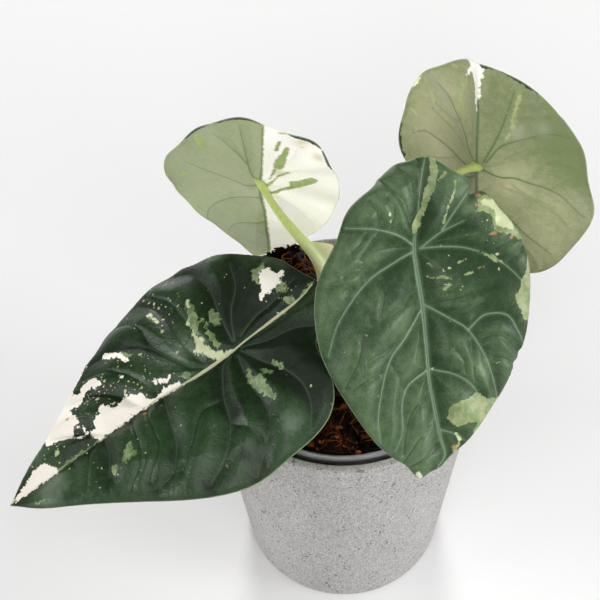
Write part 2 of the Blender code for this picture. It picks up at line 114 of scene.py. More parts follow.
# Each leaf's place and outline are those of its CAD blade. heading, dip, turn and fold set its
# direction, bend and arch its curves along and across. left and right are the outline's distances
# from the stalk point at OUTLINE_ANGLES. The rest is in millimetres on the flat blade, or in degrees
# round the stalk point.
# valley is how far the blade falls to its midrib, pillow how far it rises between its main veins,
# crease how deep these lie in it, and groove how deep its furrows are, the finer veins. cord and rib
# are how far the main veins stand out above and below, in shares of their half width. rag is how
# ragged the markings' edges are.
# dents are small departures from the CAD's outline, outwards where less than zero, as (angle, depth,
# width). rims are where the margin curls over and shows the dark face, as (from, to, width).
# marks are closed outlines, lines are lines with half widths, and both start with their colour. green
# cuts through the cream and shows lime, and clean is a cream line whose edges aren't ragged.
# rust and flecks are ovals, as (along, across, half length, half width). The grey spots are painted
# shade where the darker upper face shows through, specks are where small dots lie, and the soft spots
# of tone are painted light and shade that make the green paler or darker (painted sheen, and painted
# shadow where another leaf hangs over a blade), all as (along, across, radius, strength).
LEAVES = {
    "a": {
        "point": (-0.049, -0.0286, 0.211), "heading": 204.6, "dip": 23.7, "turn": 4.1, "bend": -0.3,
        "arch": 5.2, "fold": 0.04, "seed": 3, "valley": 2.1, "pillow": 2.2, "crease": 1.7, "groove": 1.3,
        "cord": 0.25, "rib": 1.0, "rag": 0.65,
        "left": (121.6, 94.6, 74.9, 66.1, 60.2, 57.3, 51.7, 40.0, 51.9, 47.0),
        "right": (121.6, 95.4, 77.8, 67.5, 62.3, 53.8, 47.2, 44.4, 44.8, 47.0),
        "dents": ((0, 2.0, 4), (-47, -3.2, 8), (-86, -2.0, 5), (-33, -1.4, 4)), "rims": (), "shade_spots": (),
        "midrib": ((-44, -2.5), (-31, 0), (-14, 1), (5, 1), (20, 0.5), (43, -1.5), (73, -1), (118, 0)),
        "midrib_half": (0.4, 0.6, 0.7, 0.9, 0.8, 0.7, 0.6, 0.4),
        "veins": (
            ((3, 3), (8, 7), (13, 20), (16, 32), (24, 42), (36, 49)),
            ((-3, 4), (-9, 15), (-16, 26), (-19, 36), (-17, 45), (-10, 55)),
            ((-1, 6), (0, 21), (-1, 34), (3, 45), (18, 56)),
            ((36, 0), (38, 14), (41, 26), (47, 34), (56, 36)), ((68, 0), (69, 10), (73, 19)),
            ((85, 0), (86, 8), (90, 14)), ((-4, 3), (-15, 8), (-27, 11), (-36, 16)),
            ((-2, -2), (-3, -18), (-4, -34), (1, -50), (10, -58)),
            ((-3, -2), (-8, -15), (-15, -26), (-18, -40)), ((-6, -2), (-16, -6), (-27, -7), (-39, -10)),
            ((12, 0), (19, -4), (26, -15), (33, -27), (44, -36), (60, -39)),
            ((14, -3), (18, -14), (19, -28), (22, -43), (30, -54)),
            ((46, -1), (54, -14), (66, -24), (80, -28)), ((66, -1), (76, -9), (90, -17)),
        ),
        "furrows": (
            ((16, 32), (10, 38), (8, 47), (13, 54)), ((13, 20), (24, 21), (33, 30), (43, 37)),
            ((46, 1), (46, 13), (48, 23), (58, 31)), ((54, 1), (54, 13), (57, 23), (66, 29)),
            ((77, 0), (78, 8), (83, 16)), ((9, -8), (12, -26), (15, -41), (24, -55)),
            ((32, -27), (32, -37), (37, -46), (44, -52)), ((38, -2), (44, -16), (54, -28), (66, -34)),
            ((-10, -16), (-22, -22), (-30, -28)), ((-16, 27), (-26, 27), (-34, 26)),
        ),
        "marks": (
            ("cream", ((-27.5, -20.5), (-31.5, -21), (-33, -17.5), (-34.5, -15.5), (-37, -15.5),
              (-35.5, -13), (-33, -11.5), (-30, -10.5), (-25, -10.5), (-22, -10), (-25.5, -15))),
            ("cream", ((54.5, -40), (51, -39), (47, -36), (44.5, -32), (43, -27.5), (41.5, -25),
              (43, -24.5), (45, -28), (48.5, -32.5), (52.5, -35.5))),
            ("cream", ((95, -19), (93.5, -14.5), (89, -13.5), (83.5, -11), (81, -11), (79, -13.5),
              (75.5, -14), (75.5, -17.5), (77.5, -22.5), (74.5, -23), (71, -21.5), (69.5, -25), (67, -27),
              (62.5, -25.5), (59, -23.5), (58, -26), (60.5, -29), (64.5, -30.5), (68, -30), (71, -28.5),
              (73.5, -31), (78, -36), (100, -24))),
            ("cream", ((73, -6.5), (70, -7), (68, -10.5), (64.5, -10), (63.5, -14), (60, -12), (58.5, -9),
              (55, -9.5), (53, -11.5), (50.5, -11.5), (47, -9), (44, -7), (43, -3.5), (40.5, -2.5),
              (37.5, -2.5), (33, -3), (29, -2), (26.5, -1), (26, 1), (31.5, 0.5), (39, -0.6), (53, -1),
              (60, -1.2), (66.5, -1.6), (71, -2))),
            ("cream", ((117, 0), (114.5, -2.5), (110.5, -3.5), (106, -6), (101, -7.5), (97.5, -7),
              (95, -3.5), (93.5, -0.5), (99, -0.2), (111, 0.2))),
            ("cream", ((37, -7.5), (35, -8), (31.5, -5.5), (29, -5.5), (31, -4), (35, -6))),
            ("lime", ((-26, -26.5), (-29, -24.5), (-31, -26), (-31.5, -22.5), (-30, -21), (-27, -19),
              (-25.5, -14), (-24, -19.5), (-24, -23))),
            ("lime", ((-35, -13), (-34.5, -10), (-33, -8), (-34, -6), (-31.5, -7), (-30, -10.5),
              (-33, -12))),
            ("lime", ((-31.5, -4.5), (-34.5, -3), (-33.5, -1), (-31, -1), (-30.5, -3))),
            ("lime", ((-39, -2), (-41.5, -3), (-45, -3.5), (-43, -1.5), (-40, -0.5), (-37, 0))),
            ("pale", ((15, -9), (12.5, -11), (11, -14.5), (9, -11.5), (8, -6.5), (6.5, -3), (3, -1),
              (0, 1), (6.5, 1), (9.5, -1), (11, -4))),
            ("lime", ((7, -33.5), (5, -30), (5, -26), (5.5, -21), (7, -16.5), (8.5, -13.5), (7.5, -8),
              (9, -10.5), (10, -15), (11, -19), (11, -24.5), (9, -25), (8, -30.5))),
            ("lime", ((5, -15), (4, -11.5), (3, -7.5), (3, -3), (5.5, -4), (5.5, -9))),
            ("lime", ((-1, -22), (-2.5, -18.5), (-1.5, -12), (1, -13.5), (1.5, -17), (1, -19.5))),
            ("lime", ((-1, 15.5), (-2.5, 15), (-2.5, 18.5), (-3.5, 21), (-6, 21), (-7, 24), (-7, 27),
              (-6.5, 30), (-7.5, 33), (-6, 35), (-3, 31), (-1.5, 27), (0.5, 21))),
            ("lime", ((-12.5, 19), (-14.5, 20), (-16, 23), (-15, 25), (-13.5, 23))),
            ("lime", ((57, 11.5), (56.5, 15), (57, 18), (55.5, 19), (58.5, 19), (63, 19), (63.5, 17),
              (62.5, 15), (60.5, 14))),
            ("lime", ((69, 15.5), (67, 17), (67, 19), (69, 20.5), (70.5, 17.5))),
            ("lime", ((25.5, -3), (23, -3.5), (20, -2.5), (22.5, -1), (25, -1.5))),
        ),
        "lines": (
            ("clean", ((-44, -2.5), (-37, -0.5), (-23, 0), (-7, 1), (5, 1.5), (15, 1), (28, 0),
              (43, -1.5)), (0.3, 0.6, 0.65, 0.5, 0.9, 0.95, 0.5, 0.5)),
            ("lime", ((43, -1.5), (73, -1), (100, -1), (116, 0.3)), (0.3, 0.55, 0.5, 0.3)),
            ("cream", ((81, -9.5), (77, -7), (74, -7), (75, -11), (76.5, -13)), (0.3, 0.5, 0.5, 0.4, 0.3)),
            ("cream", ((63, -40), (69, -36.5), (74, -33)), (0.3, 0.5, 0.6)),
            ("pale", ((25.5, -42), (23.5, -35)), (0.6, 0.8)), ("cream", ((49, -20), (47, -18)), (0.6, 0.5)),
            ("pale", ((11, -24), (11, -15)), (0.3, 0.4)), ("pale", ((6.5, -32.5), (7, -29)), (0.8, 0.5)),
            ("lime", ((5, -21), (4, -18), (3.5, -15)), (0.4, 0.5, 0.3)),
            ("lime", ((44, -31), (41, -27)), (1.2, 0.9)), ("lime", ((-8, 20.5), (-10, 23.5)), (0.8, 0.7)),
            ("pale", ((118, -2), (114, -6.5), (109, -10), (103, -13.5)), (1, 0.7, 0.5, 0.3)),
            ("lime", ((107, 8), (103, 10)), (0.5, 0.5)), ("pale", ((121.5, -1), (116, -1.2)), (1.0, 0.4)),
        ),
        "specks": (
            (62, -19, 13, 0.34), (22, -44, 12, 0.13), (40, -12, 9, 0.24), (-32, -8, 8, 0.16),
            (60, 18, 18, 0.035), (0, -30, 14, 0.05), (92, -8, 10, 0.14),
        ),
        "rust": (
            (47.5, 2, 0.9, 0.4), (47, -1.5, 0.5, 0.4), (44, -1.5, 0.3, 0.4), (53, -2, 0.3, 0.3),
            (79.5, -19.5, 0.4, 0.3), (26, 46, 0.5, 0.5),
        ),
        "flecks": (
            (13, -54, 0.5, 0.4), (15, -52, 0.7, 0.5), (14, -42.5, 0.5, 0.6), (26, -54, 0.7, 0.6),
            (23.5, -49.5, 0.7, 0.4), (21.5, -47, 0.4, 0.6), (20.5, -42.5, 0.5, 0.3), (20.5, -35, 0.7, 0.4),
            (23, -28.5, 0.6, 0.9), (46, -20.5, 0.3, 0.5), (56.5, -24, 0.6, 0.4), (50, -13, 0.5, 0.5),
            (43, -9, 0.6, 0.4), (43.5, -12, 0.5, 0.4), (35, -23.5, 0.4, 0.6), (37, -25, 0.6, 0.5),
            (66.5, -21, 0.6, 0.4), (63, -18.5, 0.8, 0.5), (69, -21, 0.4, 0.3), (57, -11, 0.5, 0.6),
            (90, -7, 1.1, 0.8), (87, -11, 0.4, 0.4), (19, -16.5, 0.3, 0.5), (21, -14, 0.7, 0.5),
            (-21, 39, 0.5, 0.4), (34, 19.5, 0.3, 0.3),
        ),
        "light_and_shade_spots": (
            (-8, 48, 7, 2.8), (8, 44, 20, 0.8), (20, 30, 6, 1.6), (28, 41, 6, 1.4), (17, 47, 3, -1.4),
            (11, 29, 5, -2.2), (50, 24, 22, 1.1), (35, 17, 8, 0.6), (-21, 23, 10, -3.4), (-25, 37, 9, -3.4),
            (-44, -12, 6, -1.8), (-10, -9, 7, -1.2), (-17, -20, 11, -2.4), (-25, -38, 7, -0.6),
            (20, -14, 10, 3.8), (26, 2, 7, 1.2), (41, -11, 7, 1.3), (8, -40, 10, 0.3), (-14, -50, 5, 6.0),
            (98, 6, 11, 3.6), (86, 12, 8, 1.4), (100, -11, 6, 1.6),
        ),
    },
    "b": {
        "point": (0.0296, -0.0088, 0.249), "heading": 278.8, "dip": 46.7, "turn": -13.6, "bend": 1.3,
        "arch": 3.6, "fold": 0.17, "seed": 5, "valley": 1.7, "pillow": 2.3, "crease": 2.1, "groove": 1.9,
        "cord": 0.45, "rib": 1.0, "rag": 0.32,
        "left": (100.1, 84.9, 73.3, 61.0, 52.1, 42.0, 36.5, 37.0, 37.9, 36.3),
        "right": (100.1, 91.4, 76.1, 61.7, 51.2, 39.2, 35.8, 33.1, 34.8, 36.3),
        "dents": ((125, 4.5, 3), (113, -1.2, 6), (-6, -4.2, 2.6), (2, 2.4, 4.5), (25, -1.0, 10)),
        "rims": (), "shade_spots": (),
        "midrib": (
            (-37, 9.5), (-24, 5.5), (-12, 2.5), (0, -0.5), (12, -0.5), (26, 0), (54, -1), (82, 1.5),
            (92, 3), (98, -1.5),
        ),
        "midrib_half": (0.2, 0.25, 0.4, 0.9, 1.1, 1.0, 0.85, 0.7, 0.5, 0.3),
        "veins": (
            ((-1, 0), (-7, -7), (-12, -18), (-15, -31)),
            ((1, -2), (3, -11), (7, -23), (14, -33), (23, -41), (35, -46)), ((0, 2), (-5, 11), (-8, 22)),
            ((-6, 12), (-13, 19), (-21, 27)), ((0, 2), (1, 12), (4, 23), (12, 36), (25, 48)),
            ((26, -1), (36, -12), (42, -19), (52, -24), (66, -28), (77, -28)),
            ((24, 1), (31, 10), (38, 18), (52, 25), (64, 28), (72, 29)),
            ((38, 18), (33, 26), (35, 36), (44, 41), (50, 43)), ((52, 0), (56, 10), (62, 17), (68, 20)),
            ((52, -2), (56, -12), (64, -16), (75, -17), (83, -21)), ((80, 2), (83, 8), (87, 12)),
        ),
        "furrows": (
            ((-19, 5), (-28, 3), (-34, -2)), ((-24, 7), (-31, 8), (-37, 6)),
            ((-12, -2), (-22, -5), (-31, -12)), ((-9, -12), (-16, -9), (-24, -11)),
            ((-12, -18), (-16, -16), (-24, -19)), ((-12, -22), (-8, -26), (-5, -31)),
            ((-10, -17), (-7, -22), (-3, -27)), ((8, -25), (2, -28), (4, -36)),
            ((13, -31), (8, -34), (6, -42)), ((6, -20), (13, -19), (24, -23)),
            ((14, -32), (19, -28), (25, -27)),
            ((16, -1), (21, -11), (25, -23), (29, -31), (38, -34), (50, -41)),
            ((36, -14), (38, -21), (40, -31)), ((47, -21), (48, -32), (51, -38)),
            ((44, -19), (52, -16), (60, -15)), ((60, -2), (67, -11), (76, -15), (86, -17)),
            ((73, -1), (81, -10), (90, -17)), ((86, 1), (91, -9), (93, -15)),
            ((44, 22), (43, 31), (53, 41)), ((52, 25), (53, 32), (58, 39)), ((24, 2), (23, 16), (21, 30)),
            ((32, 11), (30, 19), (28, 25)), ((44, 10), (50, 14), (57, 15)), ((43, 19), (52, 18), (61, 19)),
            ((13, 38), (10, 44), (7, 49)), ((9, 32), (5, 37), (2, 43)), ((6, 27), (1, 31), (-5, 36)),
        ),
        "marks": (
            ("lime", ((-38, 13), (-34, 13.8), (-31, 13.8), (-27, 12), (-23.5, 10.5), (-17.5, 7), (-12, 4),
              (-8.5, 2.5), (-7, 1), (-6.5, -0.5), (-9, -1), (-11.5, 0), (-16, 4), (-21, 6), (-24.5, 7.5),
              (-28, 9.5), (-33, 11), (-38, 11.5))),
            ("lime", ((-11, 26.5), (-14, 28), (-16.5, 29), (-17, 33), (-17, 38), (-12.5, 42), (-7.5, 45),
              (2, 50), (6, 50), (5, 48), (4, 45), (1, 41), (0, 37.5), (-1.5, 34.5), (-4.5, 33), (-7.5, 33),
              (-10, 31), (-11, 29))),
            ("pale", ((-15.5, 30), (-15, 33.5), (-14.5, 37), (-11, 39), (-7, 41.5), (-2, 43.5),
              (-1, 42.5), (-2, 39), (-4, 35.5), (-7.5, 35), (-10.5, 35), (-12.5, 31.5), (-13, 29.5))),
            ("lime", ((12, 49.5), (18.5, 47.5), (21.5, 45.5), (24.5, 44), (26, 41), (28, 39), (31.5, 41),
              (35, 42.5), (38.5, 44), (38, 49), (12, 54))),
            ("lime", ((74, 4.5), (69, 6), (68, 7.5), (67, 10.5), (67, 14), (66, 17), (66, 19), (67.5, 21),
              (69.5, 23), (71, 28.5), (72, 33), (77.5, 29), (88, 18), (83, 15.5), (80.5, 17), (78.5, 17),
              (78, 14.5), (78, 12.5), (79, 11), (79, 8), (77, 6.5))),
        ),
        "lines": (
            ("lime", ((-26.5, 13), (-29, 17)), (0.4, 0.5)),
            ("lime", ((-25.5, 20.5), (-20, 18), (-14.5, 15), (-9, 12.5)), (0.3, 0.5, 0.55, 0.75)),
            ("lime", ((7.5, 29.5), (9, 32), (11, 34), (12.5, 37)), (0.5, 0.9, 0.8, 0.4)),
            ("pale", ((83, 8.5), (86, 9.5)), (0.5, 0.8)), ("lime", ((85, 10), (92, 7)), (0.7, 0.7)),
            ("pale", ((96.5, -11.5), (99, -10)), (0.9, 1)),
            ("pale", ((92, 9), (97, 3), (99, -4)), (0.3, 0.5, 0.3)),
            ("lime", ((8, 15), (8, 17.5), (7.5, 19.5)), (0.3, 0.4, 0.3)),
            ("lime", ((13.5, 17), (13, 21)), (0.5, 0.5)),
            ("lime", ((12, 2.5), (13, 5), (12.5, 8), (14, 11)), (0.3, 0.4, 0.45, 0.5)),
            ("lime", ((18, 8.5), (16.5, 10.5)), (0.5, 0.8)), ("lime", ((5.5, 3), (8, 5)), (0.2, 0.3)),
        ),
        "specks": ((10, 14, 8, 0.06), (0, 30, 6, 0.08), (45, -30, 14, 0.02)),
        "rust": (
            (-17.5, 29.5, 1.2, 1.2), (-13.5, 27, 0.8, 0.4), (-1, 32.5, 0.8, 1.5), (2.5, 42, 0.6, 0.8),
            (29, -30, 0.35, 0.35), (37, -28.5, 0.35, 0.35), (12, 25, 0.3, 0.9), (89, 7, 1.4, 0.8),
        ),
        "flecks": (
            (9.5, 11.5, 0.5, 0.9), (10.5, 9, 0.4, 0.5), (9, 8.5, 0.25, 0.4), (9, 16.5, 0.3, 0.3),
            (16, 9, 0.3, 0.4), (8.5, 34.5, 0.5, 0.6), (14.5, 34, 0.5, 0.5), (-7, 30.5, 0.3, 0.4),
            (-2.5, 21, 0.3, 0.3), (-17, -11.5, 1, 0.7), (-14, -11, 0.7, 0.5), (-5.5, -8, 0.4, 0.4),
            (31, -33.5, 0.3, 0.4), (55, 30, 0.4, 0.9), (52, 1, 0.4, 0.4), (13, 11.5, 0.25, 0.4),
            (17, 15, 0.3, 0.4),
        ),
        "light_and_shade_spots": (
            (20, -20, 26, 0.4), (60, -12, 24, 0.6), (-22, -12, 18, 0.5), (22, 34, 14, -0.9),
            (-6, 24, 10, -0.5), (8, 12, 10, -0.8), (34, 8, 9, -0.8), (46, -38, 16, -0.2),
            (-20, 14, 8, -0.3), (-14, 5, 5, -2.8), (-7, 2, 4, -1.6), (10, 21, 7, -2.4), (20, 31, 6, -2.6),
            (3, -11, 7, -1.4), (14, -14, 7, -1.6), (27, -28, 9, -1.5), (49, 4, 5, -1.2), (60, 3, 4, -0.8),
            (-14, 24, 4, 2.8), (-25, 22, 5, 2.4), (56, 21, 5, 2.6), (75, -31, 8, 1.0), (84, -12, 10, 0.8),
            (30, -11, 4, 1.0),
        ),
    },
    "c": {
        "point": (-0.034, 0.0411, 0.239), "heading": 113.0, "dip": 76.8, "turn": 35.5, "bend": -1.3,
        "arch": 2.8, "fold": 0.12, "seed": 7, "valley": 0.4, "pillow": 0.4, "crease": 0.3, "groove": 0.2,
        "cord": 0.3, "rib": 0.8, "rag": 0.25,
        "left": (85.0, 65.4, 56.3, 48.0, 45.6, 41.3, 39.7, 42.8, 46.1, 45.1),
        "right": (85.0, 70.4, 56.0, 43.0, 36.9, 35.3, 36.7, 41.8, 43.2, 45.1),
        "dents": ((13, -4.6, 7), (50, -2.2, 8), (145, -1.4, 14)),
        "rims": ((119, 147, 1.2), (150, 178, 1.3), (193, 217, 2.0), (218, 237, 1.2)),
        "shade_spots": (
            (-35, -15.5, 3, 0.5), (-26, -24, 3, 0.6), (-8, -8, 3, 0.5), (12, 7, 4, 0.4),
            (8, -1.5, 2.5, 0.4), (-12, 39, 4, 0.4), (-1, 19, 3, 0.3),
        ),
        "midrib": (
            (-44, 1), (-20, 0), (-4, 0), (0, 0), (4, 0), (15, -1), (30, -3), (46, -4.5), (63, -6), (84, -7),
        ),
        "midrib_half": (0.15, 0.2, 0.3, 1.2, 0.4, 0.45, 0.4, 0.35, 0.3, 0.2),
        "veins": (
            ((1, 1), (-5.5, 4.5), (-16.5, 7), (-28, 9), (-39.5, 11)),
            ((-11.5, 6.5), (-16.5, 10), (-24.5, 17), (-29, 22)),
            ((4, 2), (6.5, 6), (5, 13), (4, 21), (3, 28), (1, 35)),
            ((14, -1), (20.5, 9), (27, 16), (34.5, 21), (43.5, 24), (52, 24)),
            ((40, -4), (46, 7), (54, 12), (63, 14)), ((-1, -1), (-13, -8), (-26, -13), (-38, -15)),
            ((2, -1), (3, -14), (-4, -20), (-8, -30)), ((8, 0), (12, -9), (20, -17), (30, -24), (42, -28)),
            ((34, -3), (42, -11), (52, -18), (62, -20)),
        ),
        "furrows": (
            ((-8, 6), (-8, 18), (-14, 30)), ((4, 20), (14, 26), (24, 34)), ((22, 13), (26, 24), (36, 32)),
            ((-10, -6), (-14, -18), (-20, -28)), ((4, -14), (14, -22), (22, -32)),
            ((24, -20), (34, -26), (48, -30)), ((56, 0), (64, 8), (72, 12)), ((52, 0), (62, -9), (72, -13)),
        ),
        "marks": (
            ("cream", ((-60, 0.2), (-46, 0.2), (-25, -0.3), (-12, -0.6), (-1, -1), (9, -1.6), (20, -2.6),
              (30, -3.8), (46, -5.6), (64, -7.2), (80, -8), (100, -9), (100, -60), (-60, -60))),
            ("green", ((-30, -9), (-30, -10.5), (-27.5, -11), (-22, -10.5), (-16, -10), (-12.5, -9),
              (-11, -7), (-12.5, -5), (-17.5, -5.5), (-22.5, -7), (-25.5, -8))),
            ("green", ((-1, -13), (-3.5, -16.5), (-6.5, -19.5), (-8, -23), (-6, -25), (-2, -22),
              (2, -17.5), (4, -14.5))),
        ),
        "lines": (
            ("green", ((-34, -6.5), (-27, -5.5)), (0.8, 0.7)),
            ("green", ((-12, -6), (-6.5, -5), (-2, -4)), (0.7, 0.5, 0.3)),
            ("green", ((-42, -6), (-42, -7.5), (-42.5, -9.5)), (0.3, 0.6, 0.4)),
            ("green", ((3, -14.5), (6, -10), (9, -6), (7, -3)), (1.2, 1.1, 0.9, 0.5)),
            ("green", ((4.5, -1), (1, -4.5), (-3, -7)), (1, 0.9, 0.4)),
            ("green", ((-4.5, -7.5), (-10, -12.5)), (0.8, 0.6)),
            ("lime", ((-21, 29), (-14.5, 26.5)), (1.8, 1)), ("lime", ((13.5, 37), (12, 35)), (1.2, 1.2)),
        ),
        "specks": ((20, 28, 10, 0.05),), "rust": ((-31, -16, 0.6, 0.8), (-42, 14, 0.5, 0.7)), "flecks": (),
        "light_and_shade_spots": ((10, 10, 16, 0.5), (-20, 22, 14, 0.2), (40, 14, 16, -0.4)),
    },
    "d": {
        "point": (0.0628, 0.0455, 0.237), "heading": 100.2, "dip": 102.2, "turn": 50.2, "bend": -0.1,
        "arch": 0.4, "fold": 0.26, "seed": 9, "valley": 0.7, "pillow": 2.4, "crease": 1.3, "groove": 1.6,
        "cord": 0.3, "rib": 0.9, "rag": 0.5,
        "left": (91.8, 69.2, 64.2, 53.9, 55.2, 49.3, 48.5, 48.0, 51.3, 52.9),
        "right": (91.8, 67.1, 62.8, 58.1, 55.3, 49.9, 50.2, 49.9, 52.5, 52.9), "dents": (),
        "rims": ((180, 187, 1.3), (191, 211, 1.6), (64, 86, 1.1)),
        "shade_spots": ((-21, -16.5, 4, 0.5), (-25, -28, 3.5, 0.4), (14, 22, 4, 0.3)),
        "midrib": ((-50, 0), (0, 0), (90, 0)), "midrib_half": (0.25, 0.55, 0.3),
        "veins": (
            ((-1, 0.5), (-5.5, 4.5), (-13.5, 8.5), (-21.5, 13.5), (-28, 19), (-31, 27)),
            ((2, 3), (3, 7), (0.5, 15.5), (-1, 25.5), (-0.5, 35), (5.5, 44.5)),
            ((-3, -3), (-16.5, -8.5), (-25, -11), (-34.5, -13.5), (-43, -15.5)),
            ((-3, -4), (-7, -6.5), (-12, -9.5), (-15.5, -14), (-19, -21), (-23, -29), (-24.5, -36),
              (-24, -40.5)),
            ((1, -2), (4, -10), (3, -17), (4, -24), (5, -32), (8, -38.5), (12.5, -43.5), (17.5, -49)),
            ((6, 1), (14, 12), (24, 24), (34, 34), (42, 38)), ((14, 0), (24, -12), (34, -24), (42, -36)),
            ((40, 0), (48, 10), (58, 18)), ((44, 0), (52, -10), (62, -18)),
        ),
        "furrows": (
            ((6, -33), (0, -38.5), (-4, -42.5), (-5.5, -46)),
            ((-0.5, -25), (-7, -30), (-9, -36.5), (-8.5, -42), (-4, -47)),
            ((10, -14), (14, -28), (24, -42)), ((6, -16), (12, -22), (20, -36)),
            ((-8, -14), (-14, -24), (-15, -34)), ((-28, -14), (-30, -24), (-34, -32)),
            ((2, 14), (10, 24), (16, 38)), ((16, 14), (28, 20), (40, 30)), ((-6, 6), (-10, 18), (-14, 32)),
            ((-18, 12), (-16, 22), (-18, 34)), ((24, -12), (36, -18), (52, -30)),
            ((60, 0), (68, 8), (74, 12)), ((58, 0), (68, -10), (74, -14)),
        ),
        "marks": (
            ("cream", ((-56, 8), (-58, 0), (-54, -3), (-50.5, -2), (-45, -1), (-39.5, -0.5), (-33, 0.5),
              (-29, 1), (-34.5, 3), (-39, 3), (-43, 5), (-45, 6.5), (-42, 9), (-40.5, 10.5), (-45.5, 8.5),
              (-48.5, 6.5))),
            ("cream", ((-31, 38), (-27, 39.5), (-22, 42), (-23, 45), (-32, 41))),
        ),
        "lines": (
            ("lime", ((-42, -17.5), (-35, -16), (-24, -14.5), (-15.5, -12)), (0.5, 0.7, 0.9, 0.3)),
            ("lime", ((-38.5, 10.5), (-31, 13), (-23, 11)), (0.6, 0.9, 0.5)),
            ("lime", ((-44, 17), (-43, 17)), (1.2, 1.2)), ("lime", ((-18, 31.5), (-17, 31.5)), (1.2, 1.1)),
            ("lime", ((-6.5, 46), (-4.5, 43.5)), (0.9, 1)), ("lime", ((2.5, 42.5), (3.5, 42)), (1.1, 1.1)),
        ),
        "specks": ((-18, 34, 12, 0.05),), "rust": ((-31, -12, 0.6, 0.6), (40, 12, 0.5, 0.4)), "flecks": (),
        "light_and_shade_spots": (
            (-25, 19, 14, 1.0), (6, 27, 13, 2.6), (-10, 38, 12, 0.6), (-27, -36, 16, -1.1),
            (-16, -36, 12, -0.6), (-28, -9, 12, -0.5), (12, -38, 10, 0.6), (39, -30, 20, 0.8),
            (8, -14, 9, 2.0), (-5, -44, 11, -1.2), (15, -22, 7, -0.3), (-45, -10, 10, -0.4),
            (35, 10, 20, 0.4),
        ),
    },
}
# Leaf stalks, as in the CAD: the side of the crown that each grows from (heading and rise, in
# degrees), the two inner points of its curve, its radius at the foot, half way and at the blade,
# and its sheath's direction, width and share of the stalk
CROWN = Vector((-0.004, 0.018, 0.158))
CROWN_RADIUS = 0.0105
CROWN_DEPTH = 0.017
STALKS = {
    "a": {
        "heading": 226, "rise": 48, "inner": ((-0.020, 0.003, 0.181), (-0.038, -0.018, 0.196)),
        "radii": (0.0034, 0.0024, 0.0017), "fin": (-0.3, 0.6, 0.7), "fin_width": 0.0025, "fin_share": 0.5,
    },
    "b": {
        "heading": 312, "rise": 52, "inner": ((0.008, 0.008, 0.190), (0.022, 0.000, 0.230)),
        "radii": (0.0034, 0.0025, 0.0018), "fin": (-0.6, 0.5, 0.3), "fin_width": 0.0025, "fin_share": 0.5,
    },
    "c": {
        "heading": 140, "rise": 55, "inner": ((-0.0022, 0.0339, 0.2004), (-0.0184, 0.0200, 0.2111)),
        "radii": (0.0040, 0.0027, 0.0014), "fin": (0.9, 0.1, 0.5), "fin_width": 0.0085, "fin_share": 0.55,
    },
    "d": {
        "heading": 35, "rise": 52, "inner": ((0.0146, 0.0332, 0.2075), (0.0357, 0.0415, 0.2348)),
        "radii": (0.0034, 0.0024, 0.0016), "fin": (-0.3, 0.7, 0.5), "fin_width": 0.0025, "fin_share": 0.5,
    },
}
STALK_RINGS = 110
STALK_SIDES = 48
CROWN_ROWS = 60
CROWN_SIDES = 96

# Potting mix: its surface's waves, each as (radians per metre along X, the same along Y, phase), and
# the round heap beside the crown
MIX_SEED = 11
MIX_RINGS = 54
MIX_SIDES = 168
MIX_LEVEL = 0.1595
MIX_SINK = 0.8 * MM
MIX_FOOT_SHARE = 46.2 / 55.0
MIX_WAVES = (
    (310, 170, 0.4), (-190, 420, 1.9), (700, -350, 3.1), (520, 910, 0.2), (-1300, 640, 2.2),
    (1500, 1700, 5.0),
)
HEAP_PLACE = (-0.022, 0.044)
HEAP_REACH = 0.022
HEAP_HEIGHT = 0.016

# Bark chips: their least length and how much longer they get, their section's corners in shares of
# its half width and half thickness, and the spread of their tilt, in radians
CHIP_COUNT = 1900
CHIP_SHORTEST = 1.0 * MM
CHIP_LONGER = 3.8 * MM
CHIP_SECTION = ((-1, -0.6), (-0.5, -1), (0.5, -1), (1, -0.6), (1, 0.6), (0.5, 1), (-0.5, 1), (-1, 0.6))
CHIP_TIP = 0.5
CHIP_CREASE = math.radians(38)

# Chips that lie on the pots' rims: how far out from the mix's edge, in millimetres, and the mean and
# the spread of their turn from the heap, in radians
SPILL_COUNT = 520
SPILL_REACH = (-2, 8.5)
SPILL_TURN = (0.06, 0.11)

# Coir fibres: their least and greatest lengths, half thicknesses and lifts in millimetres, and how
# much they turn, in radians a step
FIBRE_COUNT = 850
FIBRE_SIDES = 5
FIBRE_STEPS = 12
FIBRE_LENGTHS = (5, 18)
FIBRE_HALVES = (0.08, 0.20)
FIBRE_LIFTS = (0.4, 2.4)
FIBRE_CURL = 0.16
FIBRE_WANDER = 0.12


def face_look(deep, bright, vein, painted_sheen, main_share, furrow_shade, sheen, halo=0.10):
    """A face's colours, and how strongly its main veins, its furrows and the rims of its veins show."""
    # The fourth colour is a painted sheen, and the furrows' share is how much painted shade lies in them.
    return {
        "deep": deep, "bright": bright, "vein": vein, "painted_sheen": painted_sheen, "main_share": main_share,
        "furrow_shade": furrow_shade, "sheen": sheen, "halo": halo,
    }


# Colours, as linear RGB. UNDER_GLOW is how much light scatters in a green and in a cream underside.
UPPER_LOOKS = {
    "a": face_look(
        (0.003, 0.011, 0.002), (0.025, 0.058, 0.020), (0.060, 0.095, 0.052), (0.14, 0.19, 0.13),
        main_share=0.55, furrow_shade=0.35, sheen=0.02),
    "b": face_look(
        (0.012, 0.040, 0.008), (0.078, 0.136, 0.056), (0.18, 0.27, 0.16), (0.25, 0.35, 0.21),
        main_share=0.6, furrow_shade=0.5, sheen=0.08, halo=0.16),
    "c": face_look(
        (0.010, 0.030, 0.012), (0.035, 0.070, 0.032), (0.09, 0.15, 0.08), (0.09, 0.14, 0.08),
        main_share=0.6, furrow_shade=0.4, sheen=0.08),
    "d": face_look(
        (0.014, 0.038, 0.014), (0.040, 0.080, 0.036), (0.09, 0.15, 0.08), (0.09, 0.14, 0.08),
        main_share=0.6, furrow_shade=0.4, sheen=0.08),
}
